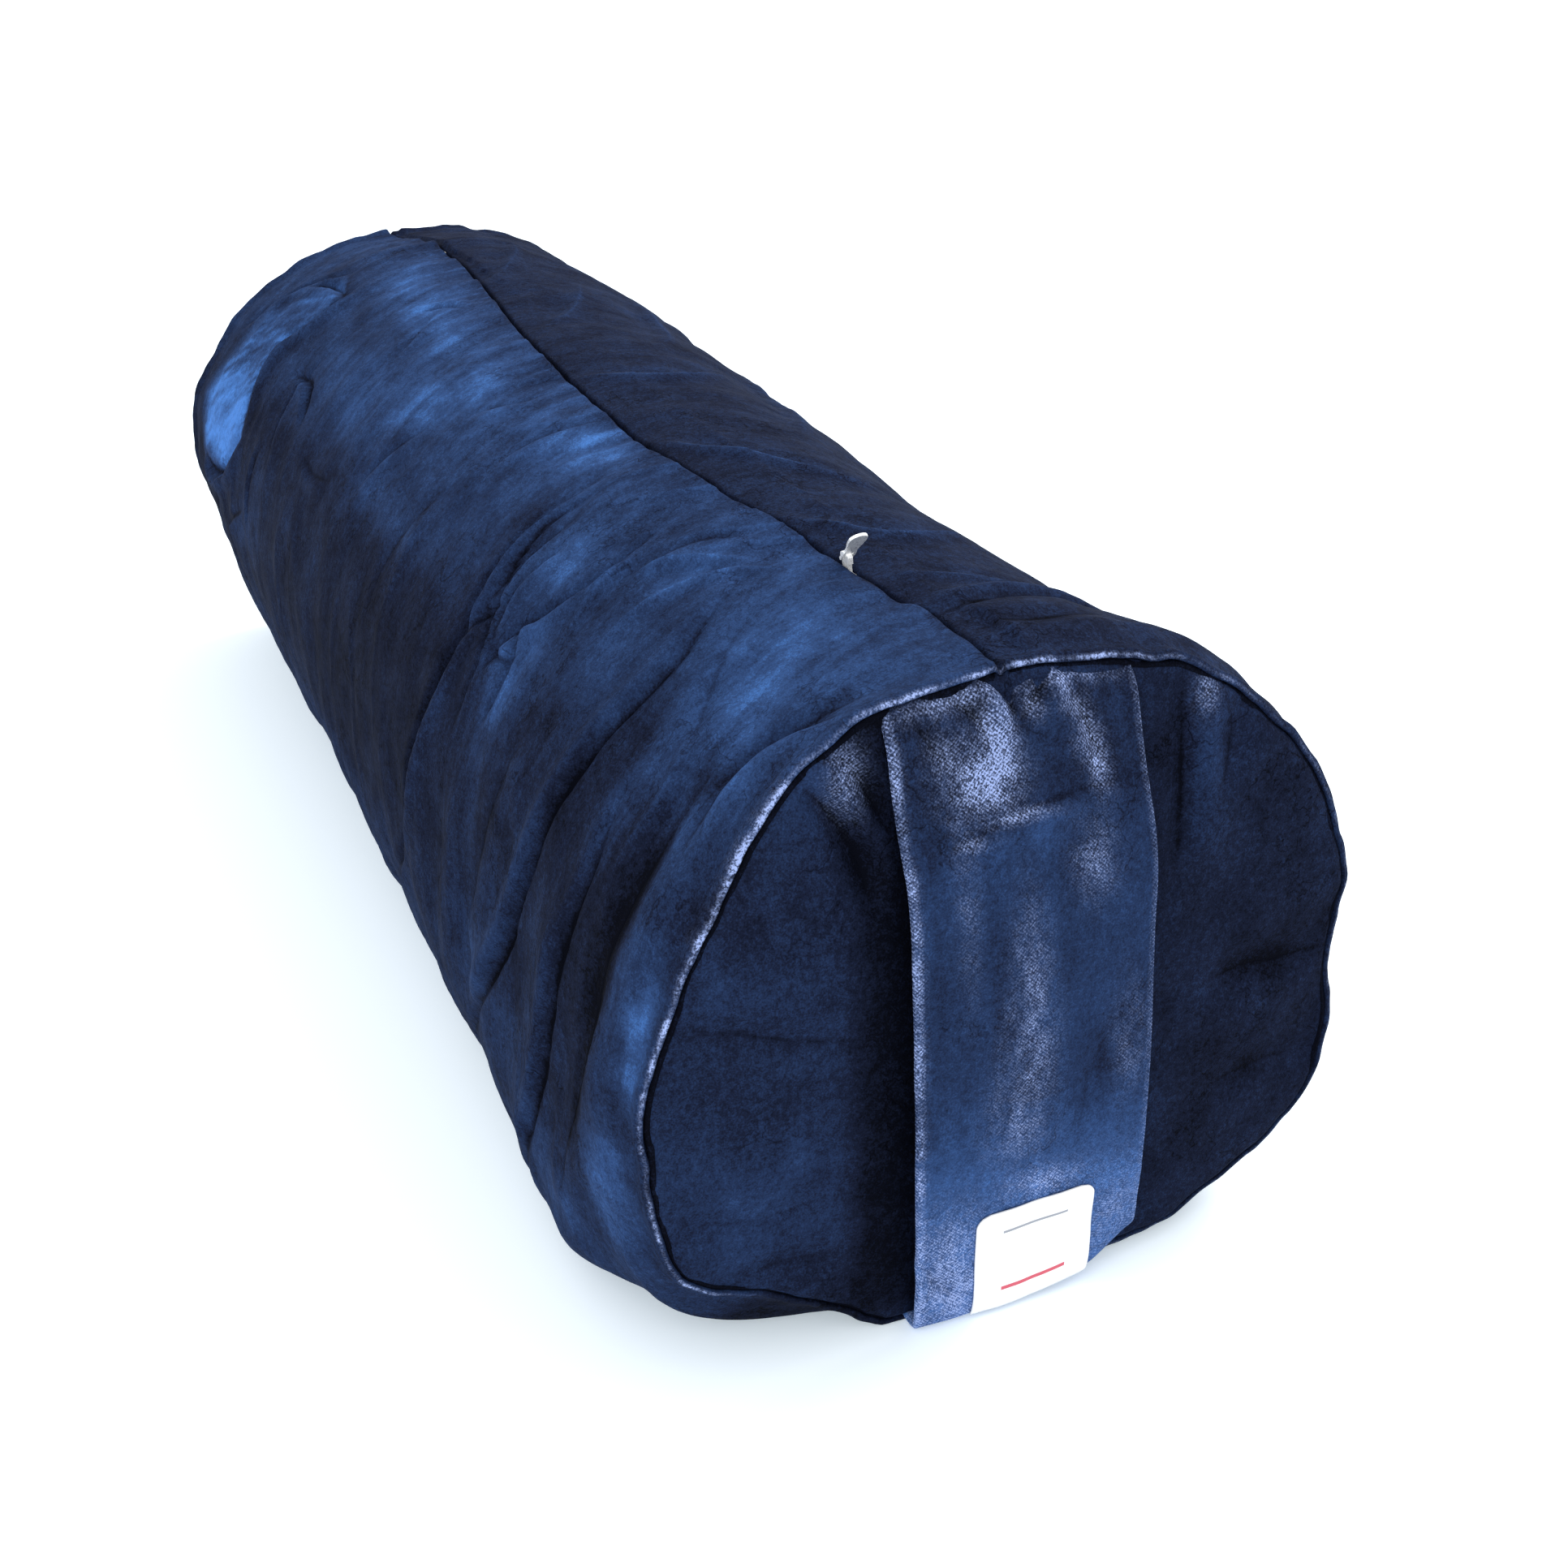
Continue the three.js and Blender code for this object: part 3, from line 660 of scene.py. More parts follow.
def shell_of(outer, inner, step_c):
    """Faces of a closed tube wall: an outer grid, a coarser inner one and the two end rings."""
    n_rows, n_cols = outer.shape[:2]
    m_rows, m_cols = inner.shape[:2]
    start = n_rows * n_cols
    faces = grid_faces(n_rows, n_cols) + grid_faces(m_rows, m_cols, start, flip=True)
    for row, inner_row, turned in ((0, 0, True), (n_rows - 1, m_rows - 1, False)):
        for c in range(m_cols):
            first = c * step_c
            last = first + step_c if c < m_cols - 1 else n_cols
            ring = [row * n_cols + i % n_cols for i in range(first, last + 1)]
            p = start + inner_row * m_cols + c
            q = start + inner_row * m_cols + (c + 1) % m_cols
            fan = [(ring[i], ring[i + 1], p) for i in range(len(ring) - 1)] + [(ring[-1], q, p)]
            faces += [f[::-1] if turned else f for f in fan]
    return np.vstack([outer.reshape(-1, 3), inner.reshape(-1, 3)]), faces


CLOTH = 1.7


def make_cover_body():
    rows, lines = body_rows(), body_columns()
    x = np.repeat(rows[:, 0][:, None], len(lines), 1)
    inset = np.repeat(rows[:, 1][:, None], len(lines), 1)
    across = np.repeat(lines[None], len(rows), 0)
    w = girth_place(x, across)
    outer, proud, (shade, (offset, strength)), (ny, nz) = cover_surface(x, w, across, inset)
    keep_r = np.unique(np.append(np.arange(0, len(rows), 2), len(rows) - 1))
    keep_c = np.arange(0, len(lines), 2)
    sub = np.ix_(keep_r, keep_c)
    plain = proud + inset
    below = (CLOTH + plain - lowest_nearby(plain, 2))[sub]
    inner = outer[sub].copy()
    inner[..., 1] -= below * ny[sub]
    inner[..., 2] = np.maximum(inner[..., 2] - below * nz[sub], CLOTH)
    verts, faces = shell_of(outer, inner, 2)
    piece = new_piece("cover_body_velvet", verts, faces)
    outward(piece)
    paint(piece, "tone_and_painted_light", body_tone_and_painted_light(x, w, across, shade))
    paint(piece, "painted_sheen", body_painted_sheen(x, w, inset))
    paint(piece, "fold", offset)
    paint(piece, "fold_strength", strength)
    paint_thread(piece, x * 0.0 + THREAD_PITCH / 4, across * 0.0 + THREAD_PITCH / 4)
    return piece


# Where the velvet is lighter or darker: places (x, w), strength and size. Lighter patches are partly the
# cloth's own crushed patches and partly painted sheen; darker ones are partly painted shade beside folds.
LIGHT_PATCHES = [
    ((-40, -72), 0.24, (26, 14)), ((-95, -42), 0.22, (50, 12)), ((-170, -32), 0.18, (60, 16)),
    ((12, -108), 0.14, (40, 7)), ((168, -116), 0.26, (14, 22)), ((205, -50), 0.12, (22, 18)),
    ((252, -52), 0.22, (15, 18)), ((276, -40), 0.10, (18, 20)), ((146, -68), 0.14, (20, 22)),
    ((60, -44), 0.12, (44, 14)), ((-110, -85), 0.10, (45, 18)), ((317, -160), 0.30, (7, 24)),
    ((306, -215), 0.18, (12, 24)), ((222, -25), 0.10, (26, 8)), ((90, -36), 0.08, (30, 8)),
    ((280, -62), 0.16, (20, 22)), ((264, -104), 0.16, (8, 18)),
    ((296, -88), 0.12, (12, 18)), ((309, -152), 0.08, (9, 22)), ((300, -206), 0.15, (13, 20)),
    ((262, -192), 0.10, (24, 24)), ((228, -160), 0.07, (20, 38)),
    ((150, -110), 0.05, (16, 12)), ((20, -70), 0.07, (16, 14)), ((-30, -104), 0.06, (14, 12)),
    ((-90, -84), 0.07, (16, 14)), ((-60, -150), 0.05, (22, 14)), ((180, -196), 0.07, (40, 30)),
    ((303, -140), 0.12, (8, 30)), ((312, -20), 0.08, (12, 20)),
    ((-20, -50), 0.14, (30, 12)), ((-190, -175), 0.10, (26, 20)), ((-160, -150), 0.08, (20, 14)),
    ((262, -235), 0.16, (24, 16)), ((185, -205), 0.08, (30, 16)), ((302, -100), 0.10, (8, 14)),
]
DARK_PATCHES = [
    ((80, -150), 0.07, (50, 45)), ((-30, -165), 0.05, (70, 40)), ((289, -130), 0.10, (9, 46)),
    ((250, -95), 0.10, (14, 22)), ((228, -130), 0.08, (8, 50)), ((100, -85), 0.05, (10, 26)),
    ((-205, -140), 0.05, (22, 26)), ((252, -165), 0.05, (20, 40)),
]
# The flattened facet near the far end, made pale with a painted sheen: its drawn outline, and a softer one
# that fades it out.
FACET = [
    (-221, -58), (-236, -50), (-262, -44), (-305, -88), (-330, -140), (-305, -190), (-255, -176),
    (-240, -160), (-222, -149), (-214, -140), (-221, -129), (-227, -117), (-225, -108), (-230, -98),
    (-226, -86), (-219, -75), (-217, -66),
]
FACET_CORE = [
    (-205, -30), (-244, -50), (-280, -96), (-300, -134), (-288, -158), (-255, -166), (-205, -180),
]


def inside_outline(u, w, outline, soft):
    """1 inside a drawn outline, fading to 0 over a short way outside its edge."""
    count = len(outline)
    inside = np.zeros(u.shape, bool)
    edge = np.full(u.shape, 1e9)
    for i in range(count):
        (x1, y1), (x2, y2) = outline[i], outline[(i + 1) % count]
        crosses = ((y1 > w) != (y2 > w)) & (u < (x2 - x1) * (w - y1) / (y2 - y1 + 1e-9) + x1)
        inside ^= crosses
        t = np.clip(((u - x1) * (x2 - x1) + (w - y1) * (y2 - y1)) / ((x2 - x1) ** 2 + (y2 - y1) ** 2), 0, 1)
        edge = np.minimum(edge, np.hypot(u - x1 - t * (x2 - x1), w - y1 - t * (y2 - y1)))
    signed = np.where(inside, edge, -edge)
    return smooth(signed, -soft, soft)


def body_tone_and_painted_light(u, w, across, shade):
    """Tone, 0 darkest and 1 lightest: the lie of the nap with painted light, that is painted shade and
    highlights of folds and pleats, painted sheen and shade in patches, painted sheen on the far facet and a
    painted shadow under the near rim.
    """
    left = 1.0 - smooth(across, -0.6, 0.6)
    under = smooth(-w, 75.0, 140.0)
    near = smooth(u, 80.0, 160.0) * (1.0 - smooth(u, 235.0, 300.0))
    # Lighter left of the seam and darker towards the underside.
    tone = 0.20 + 0.19 * left * (1.0 - under) * (1.0 - 0.10 * near) + 0.10 * left * smooth(-w, 190.0, 240.0)
    tone = tone + 0.02 * (1.0 - left)
    mottle = layered(u + 0.5 * w, w, 17.0, 11.0, 67, 3, 0.75)
    tone = tone + 0.09 * left * (1.0 - 0.7 * under) * mottle
    # Painted highlights and shade on the pleats beside the seam.
    pleat = ridged(u + 0.35 * np.abs(across), across, 8.0, 60.0, 63) - 0.25
    pleated = np.exp(-np.abs(across) / 20.0) * (1.0 - 0.6 * smooth(u, 90.0, 130.0))
    tone = tone + 0.22 * left * pleat * pleated
    blotch = layered(u + 0.2 * w, w, 34.0, 24.0, 51, 3, 0.6)
    streak = layered(u + 0.25 * w, w, 4.5, 42.0, 54, 2)
    brush = layered(u, w - 0.35 * u, 40.0, 5.0, 56, 2)
    lively = left * (1.0 - 0.5 * under) + 0.35 * (1.0 - left)
    tone = tone + lively * (0.09 * blotch + 0.04 * streak + 0.03 * brush)
    edge = 1.0 + 0.6 * layered(u, w, 12.0, 9.0, 57, 2) + 0.5 * streak
    for at, strength, size in LIGHT_PATCHES:
        tone = tone + lump(u, w, at, strength, size) * edge
    for at, strength, size in DARK_PATCHES:
        tone = tone - lump(u, w, at, strength, size)
    # Painted shade and highlights of the folds, weaker on the far facet, and a painted sheen that makes the
    # facet pale.
    facet = inside_outline(u, w, FACET, 1.3) * inside_outline(u, w, FACET_CORE, 11.0)
    tone = tone + shade * (1.0 - 0.6 * facet)
    facet_sheen = 0.50 + 0.40 * bell(w, -142.0, 34.0) + 0.06 * bell(u, -238.0, 10.0)
    streaks = layered(u + 0.6 * w, w - 0.6 * u, 26.0, 7.0, 59, 4, 0.8)
    tone = tone + facet * (0.25 + 0.75 * smooth(w, -186.0, -150.0)) * (facet_sheen + 0.36 * streaks - tone)
    # Painted shadow under the lifted near rim.
    tone = tone - 0.20 * under * smooth(u, 235.0, 330.0) * smooth(-w, 262.0, 285.0)
    near_slit = np.exp(-np.abs(across + 0.4) / 0.9)
    return np.clip(tone - 0.3 * near_slit, 0.0, 1.0)


def body_painted_sheen(u, w, inset):
    """A painted highlight: a thin broken pale line along the strap end's rim, where its folded edge catches
    the light.
    """
    line = bell(inset, 1.0, 0.36 + 0.2 * bell(w, -100.0, 50.0)) * smooth(u, END - 6.0, END - 2.0)
    highlight_breaks = np.clip(0.24 + 1.7 * layered(u * 0, w, 1.0, 9.0, 61, 4, 0.85), 0.0, 1.0)
    left = smooth(-w, 52.0, 72.0)
    shown = 0.95 * left * (1.0 - 0.45 * smooth(-w, 150.0, 185.0)) + 0.75 * (1.0 - left)
    shown = shown * smooth(w, -272.0, -245.0) * (1.0 - 0.85 * smooth(w, 24.0, 40.0))
    shown = shown + 0.6 * bell(w, 68.0, 8.0)
    return np.clip(line * shown * (0.12 + 0.9 * highlight_breaks), 0.0, 1.0)


# ---------------------------------------------------------------- end panels
# An end panel's edge as (distance back from the end, depth below the cover's surface).
PANEL_EDGE = [(4.3, 3.2), (2.2, 3.2), (0.9, 3.5), (0.1, 4.4), (-0.3, 5.8)]
CLEAR_OF_SEAM = 30.0  # a panel's edge follows the cover as it is this far from its seam


def panel_relief(y, z, side):
    """How far an end panel bulges out beyond the rim, in millimetres."""
    r = np.hypot(y, z - AXIS_Z - 8.0) / (RADIUS - 6.0)
    dome = 5.0 * (1.0 - np.clip(r, 0.0, 1.0) ** 2)
    angle = np.arctan2(z - AXIS_Z, y)
    seed = 71 if side > 0 else 81
    gathers = layered(angle * RADIUS, r * 0.0, 13.0, 1.0, seed, 2)
    dome = dome + 1.6 * gathers * np.exp(-np.clip(1.0 - r, 0.0, 1.0) * RADIUS / 13.0)
    dome = dome + 1.5 * layered(y, z, 62.0, 62.0, seed + 3, 2)
    dome = dome + 0.25 * layered(y, z, 12.0, 12.0, seed + 6, 2)
    return dome


HANDLE_PANEL_CREASES = [
    ([(-72, 188), (-62, 178), (-54, 164), (-49, 146)], 3.4, 3.6, 0.9),
    ([(-60, 194), (-52, 184), (-46, 170)], 2.8, 2.8, 0.9),
    ([(47, 196), (48, 178), (49, 156), (48, 132)], 2.6, 4.5, 0.9),
    ([(66, 184), (64, 168), (62, 150)], 1.8, 4.5, 0.6),
    ([(-110, 124), (-92, 119), (-72, 112), (-50, 107)], 1.5, 4.5, 0.7),
    ([(-104, 60), (-84, 56), (-62, 58)], 1.3, 6.0, 0.5),
    ([(108, 92), (92, 92), (78, 94), (62, 92)], 2.6, 6.0, 0.5),
    ([(104, 54), (84, 56), (66, 54)], 1.8, 6.0, 0.5),
    ([(-92, 34), (-76, 38), (-58, 36)], 1.4, 5.0, 0.5),
]
FAR_PANEL_CREASES = [
    ([(-96, 130), (-70, 138), (-40, 132)], 1.8, 4.0, 0.6),
    ([(98, 96), (74, 88), (48, 92)], 2.0, 4.5, -0.6),
    ([(-30, 186), (-24, 160), (-30, 134)], 1.8, 4.0, 0.6),
    ([(40, 180), (44, 156), (38, 130)], 1.6, 4.0, 0.6),
    ([(-88, 60), (-64, 66), (-44, 58)], 1.6, 4.5, -0.6),
    ([(-4, 14), (-2, 40), (6, 62)], 1.4, 4.5, 0.6),
]


def panel_rings(x_end, lines, insets, middle, shrink):
    """Rings of (y, z) from a rim's edge to the middle, following the cover's outline."""
    x = np.full_like(lines, x_end)
    w = girth_place(x, lines)
    off_seam = np.where(lines < 0, lines - CLEAR_OF_SEAM, lines + CLEAR_OF_SEAM)
    edge = [cover_surface(x, w, off_seam, inset - 0.9)[0][:, 1:] for inset in insets]
    last = edge[-1]
    return np.array(edge + [middle + (last - middle) * s for s in shrink])


def make_end_panel(name, side):
    """A round panel: rings from the tucked edge to the middle."""
    lines = np.linspace(-GIRTH, GIRTH, 300, endpoint=False)
    middle = np.array([0.0, AXIS_Z + 6.0])
    shrink = 1.0 - np.linspace(0.0, 1.0, 46)[1:-1] ** 0.9
    insets = [inset for _, inset in PANEL_EDGE]
    rings = panel_rings(side * END, lines, insets, middle, shrink)
    y, z = rings[..., 0], np.maximum(rings[..., 1], FLOOR_GAP)
    proud = panel_relief(y, z, side)
    creases = HANDLE_PANEL_CREASES if side > 0 else FAR_PANEL_CREASES
    height, shade, offset, strength = draw_folds(y, z, creases)
    proud = proud + height
    inside = np.ones(len(rings))
    inside[: len(PANEL_EDGE)] = [0.0, 0.0, 0.2, 0.5, 0.8]
    back = np.full(len(rings), PANEL_EDGE[-1][0])
    back[: len(PANEL_EDGE)] = [b for b, _ in PANEL_EDGE]
    lean = rim_lean(y, z) if side > 0 else 0.0 * y
    x = side * (END - back[:, None] + proud * inside[:, None]) + lean
    front = np.stack([x, y, z], -1)
    n_rings, n_cols = front.shape[:2]
    centre = front[-1].mean(0)
    centre_id = n_rings * n_cols
    faces = grid_faces(n_rings, n_cols)
    tip = (n_rings - 1) * n_cols
    faces += [(tip + c, tip + (c + 1) % n_cols, centre_id) for c in range(n_cols)]
    back_rows = [0] + list(range(len(PANEL_EDGE) - 1, n_rings))
    behind = front[back_rows].copy()
    behind[1:, :, 0] -= side * CLOTH
    behind[0, :, 0] -= side * 0.9
    start = centre_id + 1
    faces += grid_faces(len(back_rows), n_cols, start, flip=True)
    back_centre = start + behind.shape[0] * n_cols
    tip = start + (len(back_rows) - 1) * n_cols
    faces += [(tip + (c + 1) % n_cols, tip + c, back_centre) for c in range(n_cols)]
    faces += [((c + 1) % n_cols, c, start + c, start + (c + 1) % n_cols) for c in range(n_cols)]
    back_tip = (centre - [side * CLOTH, 0, 0])[None]
    verts = [front.reshape(-1, 3), centre[None], behind.reshape(-1, 3), back_tip]
    piece = new_piece(name, np.vstack(verts), faces)
    outward(piece)
    paint(piece, "painted_sheen", panel_painted_sheen(y, z, side))
    paint(piece, "tone_and_painted_light", np.clip(panel_tone_and_painted_light(y, z, side) + 0.7 * shade, 0.0, 1.0))
    paint(piece, "fold", offset)
    paint(piece, "fold_strength", 0.6 * strength)
    paint_thread(piece, y, z)
    return piece


def panel_tone_and_painted_light(y, z, side):
    tone = 0.22 + 0.04 * layered(y, z, 38.0, 30.0, 95, 3, 0.6) + 0.03 * layered(y, z, 6.0, 30.0, 98, 2)
    if side > 0:
        tone = tone + 0.03 * (1.0 - smooth(y, -30.0, 30.0)) - 0.06 * smooth(y, 30.0, 60.0)
        # Painted highlights near the top of the panel beside the strap.
        tone = tone + lump(y, z, (56, 174), 0.13, (7, 18)) + lump(y, z, (-66, 184), 0.10, (10, 10))
        tone = tone + lump(y, z, (-84, 60), 0.10, (16, 22))
        # painted shadow beside the strap, which stands off the panel
        beside = smooth(y, -62.0, -46.0) * (1.0 - smooth(y, -30.0, 0.0))
        tone = tone - 0.24 * beside * smooth(z, -10.0, 20.0)
    return np.clip(tone, 0.0, 1.0)


def panel_painted_sheen(y, z, side):
    if side < 0:
        return 0.0 * y
    grain = 0.8 + 0.6 * layered(y, z, 6.0, 6.0, 97, 2)
    # Painted highlights beside the strap's top.
    shine = lump(y, z, (-57, 186), 0.34, (4, 8)) + lump(y, z, (55, 189), 0.30, (3, 7))
    return np.clip(shine * grain, 0.0, 1.0)


# ---------------------------------------------------------------- inner bag and filling
LINER_INSET = 9.5
FILL_INSET = 12.5
LINER_NEAR, LINER_FAR = 312.0, -313.5
FILL_NEAR, FILL_FAR = 310.0, -305.0


def tube_inside(x, lines, inset):
    """Points a given depth inside the cover, following its folds, and normals there."""
    across = np.repeat(lines[None], len(x), 0)
    u = np.repeat(np.asarray(x, float)[:, None], len(lines), 1)
    w = girth_place(u, across)
    y, z, ny, nz = section(u, w)
    relief = cover_relief(u, w, across)[0]
    proud = np.clip(relief * off_floor(z), -7.0, 3.0) * 0.8 - inset
    py, pz = y + ny * proud, np.maximum(z + nz * proud, inset * 0.4)
    return np.stack([u + lean_share(u) * rim_lean(py, pz), py, pz], -1), ny, nz


def make_liner_body():
    x = np.linspace(LINER_FAR, LINER_NEAR, 110)
    lines = np.linspace(-GIRTH, GIRTH, 180, endpoint=False)
    outer, ny, nz = tube_inside(x, lines, LINER_INSET)
    inner, inner_ny, inner_nz = (np.concatenate([g[::2, ::2], g[-1:, ::2]]) for g in (outer, ny, nz))
    inner[..., 1] -= 0.9 * inner_ny
    inner[..., 2] -= 0.9 * inner_nz
    verts, faces = shell_of(outer, inner, 2)
    piece = new_piece("liner_body_cotton", verts, faces)
    outward(piece)
    return piece


def disc_mesh(name, front, thickness):
    """A thin closed panel from rings of points, open inside the last ring."""
    n_rings, n_cols = front.shape[:2]
    behind = front.copy()
    behind[..., 0] -= thickness
    start = n_rings * n_cols
    faces = grid_faces(n_rings, n_cols) + grid_faces(n_rings, n_cols, start, flip=True)
    for row in (0, n_rings - 1):
        for c in range(n_cols):
            a, b = row * n_cols + c, row * n_cols + (c + 1) % n_cols
            faces.append((a, b, b + start, a + start))
    piece = new_piece(name, np.vstack([front.reshape(-1, 3), behind.reshape(-1, 3)]), faces)
    outward(piece)
    return piece


def make_liner_end(name, side):
    """An end of the inner bag; the far one is open along its zip."""
    lines = np.linspace(-GIRTH, GIRTH, 180, endpoint=False)
    x_end = LINER_NEAR if side > 0 else LINER_FAR
    edge, _, _ = tube_inside([x_end], lines, LINER_INSET + 1.2)
    edge = edge[0]
    angle = np.arctan2(edge[:, 2] - AXIS_Z, edge[:, 1])
    if side > 0:
        core = np.stack([0.5 * np.cos(angle), AXIS_Z + 0.5 * np.sin(angle)], 1)
    else:
        low, high = span("liner_zip_coil_left")
        z_low, z_high = low[2] - 2.0, high[2] + 2.0
        middle, half = (z_low + z_high) / 2, (z_high - z_low) / 2
        core = np.stack([1.3 * np.cos(angle), middle + half * np.sin(angle)], 1)
    shares = np.linspace(0.0, 1.0, 26)[:, None, None]
    rings = edge[None, :, 1:] * (1.0 - shares) + core[None] * shares
    y, z = rings[..., 0], rings[..., 1]
    gathers = 0.5 * layered(angle[None] * RADIUS + 0 * y, y * 0, 12.0, 1.0, 151, 2)
    fade = np.exp(-shares[..., 0] * 9.0)
    x = x_end + 0.3 * side + gathers * fade
    if side > 0:
        x = x + 1.2 * layered(y, z, 50.0, 50.0, 153, 2) * shares[..., 0]
    lean = rim_lean(y, z) if side > 0 else 0.0 * y
    front = np.stack([x + lean, y, z], -1)
    return disc_mesh(name, front, 0.9)


def make_filling():
    """The loose filling, pressed to the shape of the bag, lumpy at husk size."""
    x = np.linspace(FILL_FAR, FILL_NEAR, 190)
    lines = np.linspace(-GIRTH, GIRTH, 200, endpoint=False)
    body, ny, nz = tube_inside(x, lines, FILL_INSET)
    grain = 0.7 * np.random.default_rng(161).uniform(-1.0, 1.0, body.shape[:2])
    body[..., 1] += grain * ny
    body[..., 2] += grain * nz
    n_rows, n_cols = body.shape[:2]
    verts, faces = [body.reshape(-1, 3)], grid_faces(n_rows, n_cols)
    count = n_rows * n_cols
    for row, turned in ((0, True), (n_rows - 1, False)):
        base = row * n_cols
        ring_start = base
        middle = body[row].mean(0)
        for s in np.linspace(0.85, 0.0, 10)[:-1]:
            ring = middle + (body[row] - middle) * s
            ring[:, 0] += 0.5 * np.random.default_rng(163 + row).uniform(-1, 1, n_cols)
            verts.append(ring)
            for c in range(n_cols):
                d = (c + 1) % n_cols
                quad = (ring_start + c, ring_start + d, count + d, count + c)
                faces.append(quad[::-1] if turned else quad)
            ring_start = count
            count += n_cols
        verts.append(middle[None])
        for c in range(n_cols):
            tri = (ring_start + c, ring_start + (c + 1) % n_cols, count)
            faces.append(tri[::-1] if turned else tri)
        count += 1
    piece = new_piece("filling_husk", np.vstack(verts), faces)
    outward(piece)
    return piece


# ---------------------------------------------------------------- the cover zip's tapes and coils
ZIP_DEPTH = 4.6


def along_seam(x, across, depth):
    """Points under the velvet that follow the seam."""
    u, c = np.broadcast_arrays(np.asarray(x, float), np.asarray(across, float))
    w = seam_at(u) + c
    y, z, ny, nz = section(u, w)
    relief = 0.6 * cover_relief(u, w, c * 0 - 12.0)[0]
    proud = np.clip(relief, -2.5, 2.0) - depth
    return np.stack([u, y + ny * proud, z + nz * proud], -1)


def make_zip_tape(name, side):
    x = np.linspace(ZIP_OPEN_X - 14.0, ZIP_CLOSED_X + 14.0, 180)
    across = side * np.linspace(2.3, 12.0, 7)
    top = along_seam(x[:, None], across[None], ZIP_DEPTH)
    low = along_seam(x[:, None], across[None], ZIP_DEPTH + 0.5)
    verts = np.vstack([top.reshape(-1, 3), low.reshape(-1, 3)])
    piece = new_piece(name, verts, sheet_faces(*top.shape[:2]))
    outward(piece)
    return piece


COIL_PITCH = 1.6


def make_zip_coil(name, side):
    """A wound nylon coil along one side of the closed zip."""
    x_low, x_high = ZIP_OPEN_X - 2.0, ZIP_CLOSED_X + 2.0
    turns = (x_high - x_low) / COIL_PITCH
    t = np.linspace(0.0, turns, int(turns * 7))
    x = x_low + t * COIL_PITCH
    swing, lift = np.cos(2 * np.pi * t), np.sin(2 * np.pi * t)
    path = along_seam(x, side * (0.95 + 0.6 * swing), ZIP_DEPTH - 0.2 - 0.55 * lift)
    tangent = np.gradient(path, axis=0)
    tangent /= np.linalg.norm(tangent, axis=1)[:, None]
    first = np.cross(tangent, [1.0, 0.0, 0.0])
    first /= np.linalg.norm(first, axis=1)[:, None] + 1e-9
    second = np.cross(tangent, first)
    angles = np.arange(5) * 2 * np.pi / 5
    rings = path[:, None] + 0.22 * (
        first[:, None] * np.cos(angles)[None, :, None] + second[:, None] * np.sin(angles)[None, :, None]
    )
    n = len(path)
    faces = grid_faces(n, 5) + [tuple(range(5))[::-1], tuple((n - 1) * 5 + k for k in range(5))]
    piece = new_piece(name, rings.reshape(-1, 3), faces)
    outward(piece)
    return piece


# ---------------------------------------------------------------- strap and label
STRAP_WIDTH = 77.0
STRAP_THICK = 2.6
STRAP_TOP_Y = -9.0
STRAP_FOOT_Y = 3.5
# Middle line of the strap in (x beyond the end, z), from the rim's top to its foot.
STRAP_LINE = curve_through(
    [(-3.2, 204.5), (0.8, 201.0), (4.0, 194.0), (9.5, 172.0), (13.5, 142.0), (15.0, 108.0),
     (14.0, 74.0), (11.5, 42.0), (9.0, 20.0), (7.6, 8.0), (5.8, 2.9), (2.6, 2.0), (-2.0, 2.2)],
    150,
)


def strap_middle(z):
    return STRAP_FOOT_Y + (STRAP_TOP_Y - STRAP_FOOT_Y) * z / HEIGHT


def strap_frame():
    """Points, outward normals and lengths along the strap's middle line."""
    line = STRAP_LINE
    tangent = np.gradient(line, axis=0)
    tangent /= np.linalg.norm(tangent, axis=1)[:, None]
    normal = np.stack([-tangent[:, 1], tangent[:, 0]], 1)
    along = np.concatenate([[0], np.cumsum(np.linalg.norm(np.diff(line, axis=0), axis=1))])
    return line, normal, along


def foot_lift(v, z):
    """The strap's right corner curls up off the floor."""
    return (2.0 * smooth(v, -6.0, 20.0) + 11.0 * smooth(v, 16.0, 40.0)) * (1.0 - smooth(z, 4.0, 46.0))


def rim_height(y):
    """Height of the strap end's rim at a place across it."""
    left, right = np.array(NEAR_RIM_LEFT)[:8], np.array(NEAR_RIM_RIGHT)[:5]
    return np.where(y < 0, np.interp(-y, left[:, 0], left[:, 1]), np.interp(y, right[:, 0], right[:, 1]))


STRAP_CREASES = [
    ([(-6, 1.0), (-2, 7.0), (0, 14.0)], 2.8, 1.8, 0.9),
    ([(12, 1.0), (7, 8.0), (1, 15.0)], 2.6, 1.8, -0.8),
    ([(-20, 3.0), (-13, 9.0), (-9, 18.0)], 1.8, 2.4, 0.8),
    ([(16, 6.0), (21, 16.0), (25, 30.0)], 2.0, 2.6, 0.8),
    ([(-32, 4.0), (-27, 12.0), (-22, 20.0)], 1.4, 3.0, 0.7),
    ([(-36, 47.0), (-18, 41.5), (0, 38.0), (20, 35.0), (37, 33.0)], 1.2, 1.8, 1.3),
    ([(-38, 178.0), (-31, 189.0), (-22, 202.0)], 1.2, 2.0, 0.8),
    ([(-30, 120.0), (0, 128.0), (30, 124.0)], 0.8, 9.0, 0.6),
    ([(30, 100.0), (20, 118.0), (14, 140.0)], 0.7, 4.0, 0.6),
]


def strap_relief(v, s):
    """Bulges of the strap's face at place v across and s along it."""
    relief = 0.9 * layered(v, s, 40.0, 55.0, 101, 2)
    relief = relief + 0.18 * layered(v, s, 9.0, 9.0, 104, 2)
    gathers = layered(v, s * 0, 11.0, 1.0, 107, 2)
    relief = relief + 1.7 * gathers * np.exp(-s / 16.0)
    return relief + draw_folds(v, s, STRAP_CREASES)[0]


